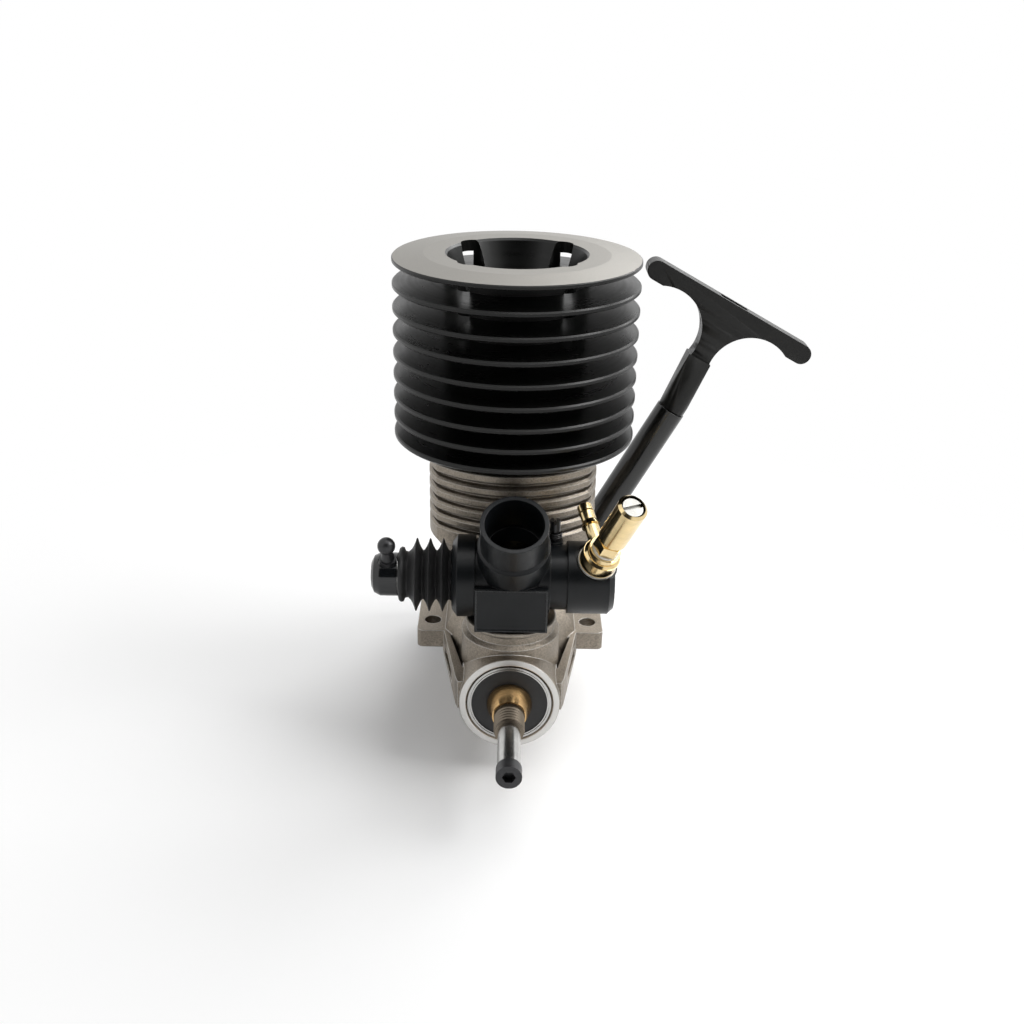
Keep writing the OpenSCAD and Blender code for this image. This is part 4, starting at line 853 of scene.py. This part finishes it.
class ENGINE_OT_idle_spring(bpy.types.Operator):
    """Winds the spring under the head of the idle screw"""

    bl_idname = "glow_engine.idle_spring"
    bl_label = "Idle screw spring"

    def execute(self, context):
        size = context.scene.engine_pieces
        low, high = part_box("idle_screw_spring")
        radius = (high.x - low.x - size.spring_wire) / 2
        rise = high.z - low.z - size.spring_wire
        pitch = rise / size.spring_turns
        spring = wind("idle_spring_coil", size.spring_wire, radius, pitch, size.spring_turns, 40)
        centre = (low + high) / 2
        set_in_place(spring, Matrix.Translation((centre.x, centre.y, low.z + size.spring_wire / 2)))
        look = context.scene.engine_finishes
        paint(spring, turned_metal("spring_wire", look.oxide_colour, 0.3, "idle"), "plated_steel")
        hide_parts("idle_screw_spring")
        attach(spring, "engine")
        return {"FINISHED"}


class ENGINE_OT_front_panel(bpy.types.Operator):
    """Raises a plain rim round the carburettor's front plate"""

    bl_idname = "glow_engine.front_panel"
    bl_label = "Front panel"

    def execute(self, context):
        size = context.scene.engine_pieces
        half_w = 8.15 * MM
        bottom, top = 16.4 * MM, 27.1 * MM
        face_y = -34.25 * MM
        sunk = 0.02 * MM
        margin = 0.15 * MM
        height = 0.25 * MM
        deselect()
        bpy.ops.mesh.primitive_plane_add(size=1, location=(0, face_y + sunk, (bottom + top) / 2),
                                         rotation=(math.pi / 2, 0, 0))
        rim = bpy.context.object
        rim.name = "front_panel_rim"
        rim.scale = (2 * (half_w - margin), top - bottom - 2 * margin, 1)
        bpy.ops.object.transform_apply(location=True, rotation=True, scale=True)
        bpy.ops.object.mode_set(mode="EDIT")
        bpy.ops.mesh.select_all(action="SELECT")
        bpy.ops.mesh.inset(thickness=size.panel_rim)
        bpy.ops.mesh.delete(type="FACE")
        bpy.ops.mesh.select_all(action="SELECT")
        bpy.ops.mesh.extrude_region_move()
        bpy.ops.transform.translate(value=(0, -height, 0))
        bpy.ops.mesh.select_all(action="SELECT")
        bpy.ops.mesh.normals_make_consistent(inside=False)
        bpy.ops.object.mode_set(mode="OBJECT")
        edge = rim.modifiers.new("edge", "BEVEL")
        edge.width = 0.09 * MM
        edge.segments = 2
        finish_modifiers(rim)
        set_in_place(rim, Matrix.Identity(4))
        colour = context.scene.engine_finishes.composite_colour
        # Full share of paler edges on the rim: partly rubbed, partly painted highlight.
        finish = moulded_plastic("panel_composite", colour, 0.26, grain_depth=0.000003, specular=0.5, pale_edge_share=1.0)
        paint(rim, finish, "black_composite")
        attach(rim, "engine")
        return {"FINISHED"}


class ENGINE_OT_studio(bpy.types.Operator):
    """Sets the pale floor, the soft lamps, the surroundings and the camera"""

    bl_idname = "glow_engine.studio"
    bl_label = "Studio"

    def execute(self, context):
        scene = context.scene
        studio = scene.engine_studio
        deselect()
        bpy.ops.mesh.primitive_plane_add(size=6.0, location=(0, 0, CAD_LOW.z))
        floor = bpy.context.object
        floor.name = "floor"
        bpy.ops.object.transform_apply(location=True, rotation=True, scale=True)
        paper, tree, shader = new_finish("floor_paper")
        place = join_node(tree, "ShaderNodeTexCoord").outputs["Object"]
        cloud = noise(tree, place, 0.12, 3.0)
        tone = blend_colour(tree, cloud, rgba(studio.floor_colour, 0.985), rgba(studio.floor_colour, 1.01))
        tree.links.new(tone, shader.inputs["Base Color"])
        shader.inputs["Roughness"].default_value = 0.9
        shader.inputs["Specular IOR Level"].default_value = 0.1
        seen = join_node(tree, "ShaderNodeLightPath").outputs
        mirrored = math_node(tree, "MAXIMUM", seen["Is Glossy Ray"], seen["Is Transmission Ray"])
        direct = math_node(tree, "MAXIMUM", seen["Is Camera Ray"], mirrored)
        lift = math_node(tree, "ADD", math_node(tree, "MULTIPLY", seen["Is Camera Ray"], studio.floor_lift),
                         math_node(tree, "MULTIPLY", mirrored, studio.floor_lift * 0.8))
        tree.links.new(lift, shader.inputs["Emission Strength"])
        shader.inputs["Emission Color"].default_value = (1, 1, 1, 1)
        away = join_node(tree, "ShaderNodeVectorMath", {0: place}, operation="LENGTH").outputs["Value"]
        far = math_node(tree, "MULTIPLY", direct, spread(tree, away, FLOOR_SHADE_R, FLOOR_WHITE_R, 0.0, 1.0))
        white = join_node(tree, "ShaderNodeEmission", {"Color": (1, 1, 1, 1), "Strength": 1.0}).outputs[0]
        mixed = join_node(tree, "ShaderNodeMixShader", {0: far, 1: shader.outputs[0], 2: white}).outputs[0]
        tree.links.new(mixed, tree.nodes["Material Output"].inputs["Surface"])
        floor.data.materials.append(paper)

        world = bpy.data.worlds.new("studio_surroundings")
        scene.world = world
        world.use_nodes = True
        sky = world.node_tree
        seen = join_node(sky, "ShaderNodeLightPath").outputs
        direct = math_node(sky, "MAXIMUM", math_node(sky, "MAXIMUM", seen["Is Camera Ray"],
                                                     seen["Is Glossy Ray"]), seen["Is Transmission Ray"])
        background = sky.nodes["Background"]
        background.inputs["Color"].default_value = (1, 1, 1, 1)
        sky.links.new(blend_value(sky, direct, studio.ambient, 1.0), background.inputs["Strength"])

        deselect()
        bpy.ops.mesh.primitive_plane_add(size=1.0, location=(-0.1, -1.0, 0.72),
                                         rotation=(math.radians(80), 0, 0))
        flag = bpy.context.object
        flag.name = "studio_flag"
        flag.scale = (1.5, 1.1, 1)
        bpy.ops.object.transform_apply(location=True, rotation=True, scale=True)
        cloth, tree, shader = new_finish("flag_cloth")
        weave = noise(tree, join_node(tree, "ShaderNodeTexCoord").outputs["Object"], 0.01)
        tree.links.new(blend_colour(tree, weave, rgba((0.02, 0.02, 0.02)), rgba((0.03, 0.03, 0.03))),
                       shader.inputs["Base Color"])
        shader.inputs["Roughness"].default_value = 0.95
        flag.data.materials.append(cloth)
        flag.visible_camera = flag.visible_diffuse = flag.visible_shadow = False

        for name, (spot, power, size) in LAMPS.items():
            deselect()
            bpy.ops.object.light_add(type="AREA", location=spot)
            lamp = bpy.context.object
            lamp.name = name
            lamp.data.size = size
            lamp.data.energy = getattr(studio, power)
            lamp.visible_camera = False
            lamp.rotation_euler = (LAMP_AIM - Vector(spot)).to_track_quat("-Z", "Y").to_euler()

        deselect()
        turn = tuple(math.radians(a) for a in CAMERA_TURN)
        bpy.ops.object.camera_add(location=CAMERA_PLACE, rotation=turn)
        camera = bpy.context.object
        camera.data.sensor_width = 36.0
        camera.data.lens = studio.camera_lens
        camera.data.clip_start = 0.01
        scene.camera = camera
        scene.view_settings.view_transform = "Standard"
        return {"FINISHED"}


class ENGINE_PT_looks(bpy.types.Panel):
    """Sidebar panel with the engine's finishes, pieces and studio"""

    bl_label = "Glow Engine"
    bl_idname = "ENGINE_PT_looks"
    bl_space_type = "VIEW_3D"
    bl_region_type = "UI"
    bl_category = "Glow Engine"

    def draw(self, context):
        layout = self.layout
        for operator in OPERATORS:
            layout.operator(operator.bl_idname)
        for group in (context.scene.engine_finishes, context.scene.engine_pieces, context.scene.engine_studio):
            box = layout.box()
            for key in group.__annotations__:
                box.prop(group, key)


OPERATORS = (
    ENGINE_OT_studio,
    ENGINE_OT_metal_finishes,
    ENGINE_OT_plastic_finishes,
    ENGINE_OT_rubber_boot,
    ENGINE_OT_pull_cord,
    ENGINE_OT_pull_handle,
    ENGINE_OT_idle_spring,
    ENGINE_OT_front_panel,
)
CLASSES = (EngineFinishes, EnginePieces, EngineStudio) + OPERATORS + (ENGINE_PT_looks,)


def register():
    for item in CLASSES:
        bpy.utils.register_class(item)
    bpy.types.Scene.engine_finishes = PointerProperty(type=EngineFinishes)
    bpy.types.Scene.engine_pieces = PointerProperty(type=EnginePieces)
    bpy.types.Scene.engine_studio = PointerProperty(type=EngineStudio)


def unregister():
    del bpy.types.Scene.engine_studio
    del bpy.types.Scene.engine_pieces
    del bpy.types.Scene.engine_finishes
    for item in reversed(CLASSES):
        bpy.utils.unregister_class(item)


def main():
    register()
    bpy.ops.glow_engine.studio()
    bpy.ops.glow_engine.metal_finishes()
    bpy.ops.glow_engine.plastic_finishes()
    bpy.ops.glow_engine.rubber_boot()
    bpy.ops.glow_engine.pull_cord()
    bpy.ops.glow_engine.pull_handle()
    bpy.ops.glow_engine.idle_spring()
    bpy.ops.glow_engine.front_panel()


if __name__ == "__main__":
    main()
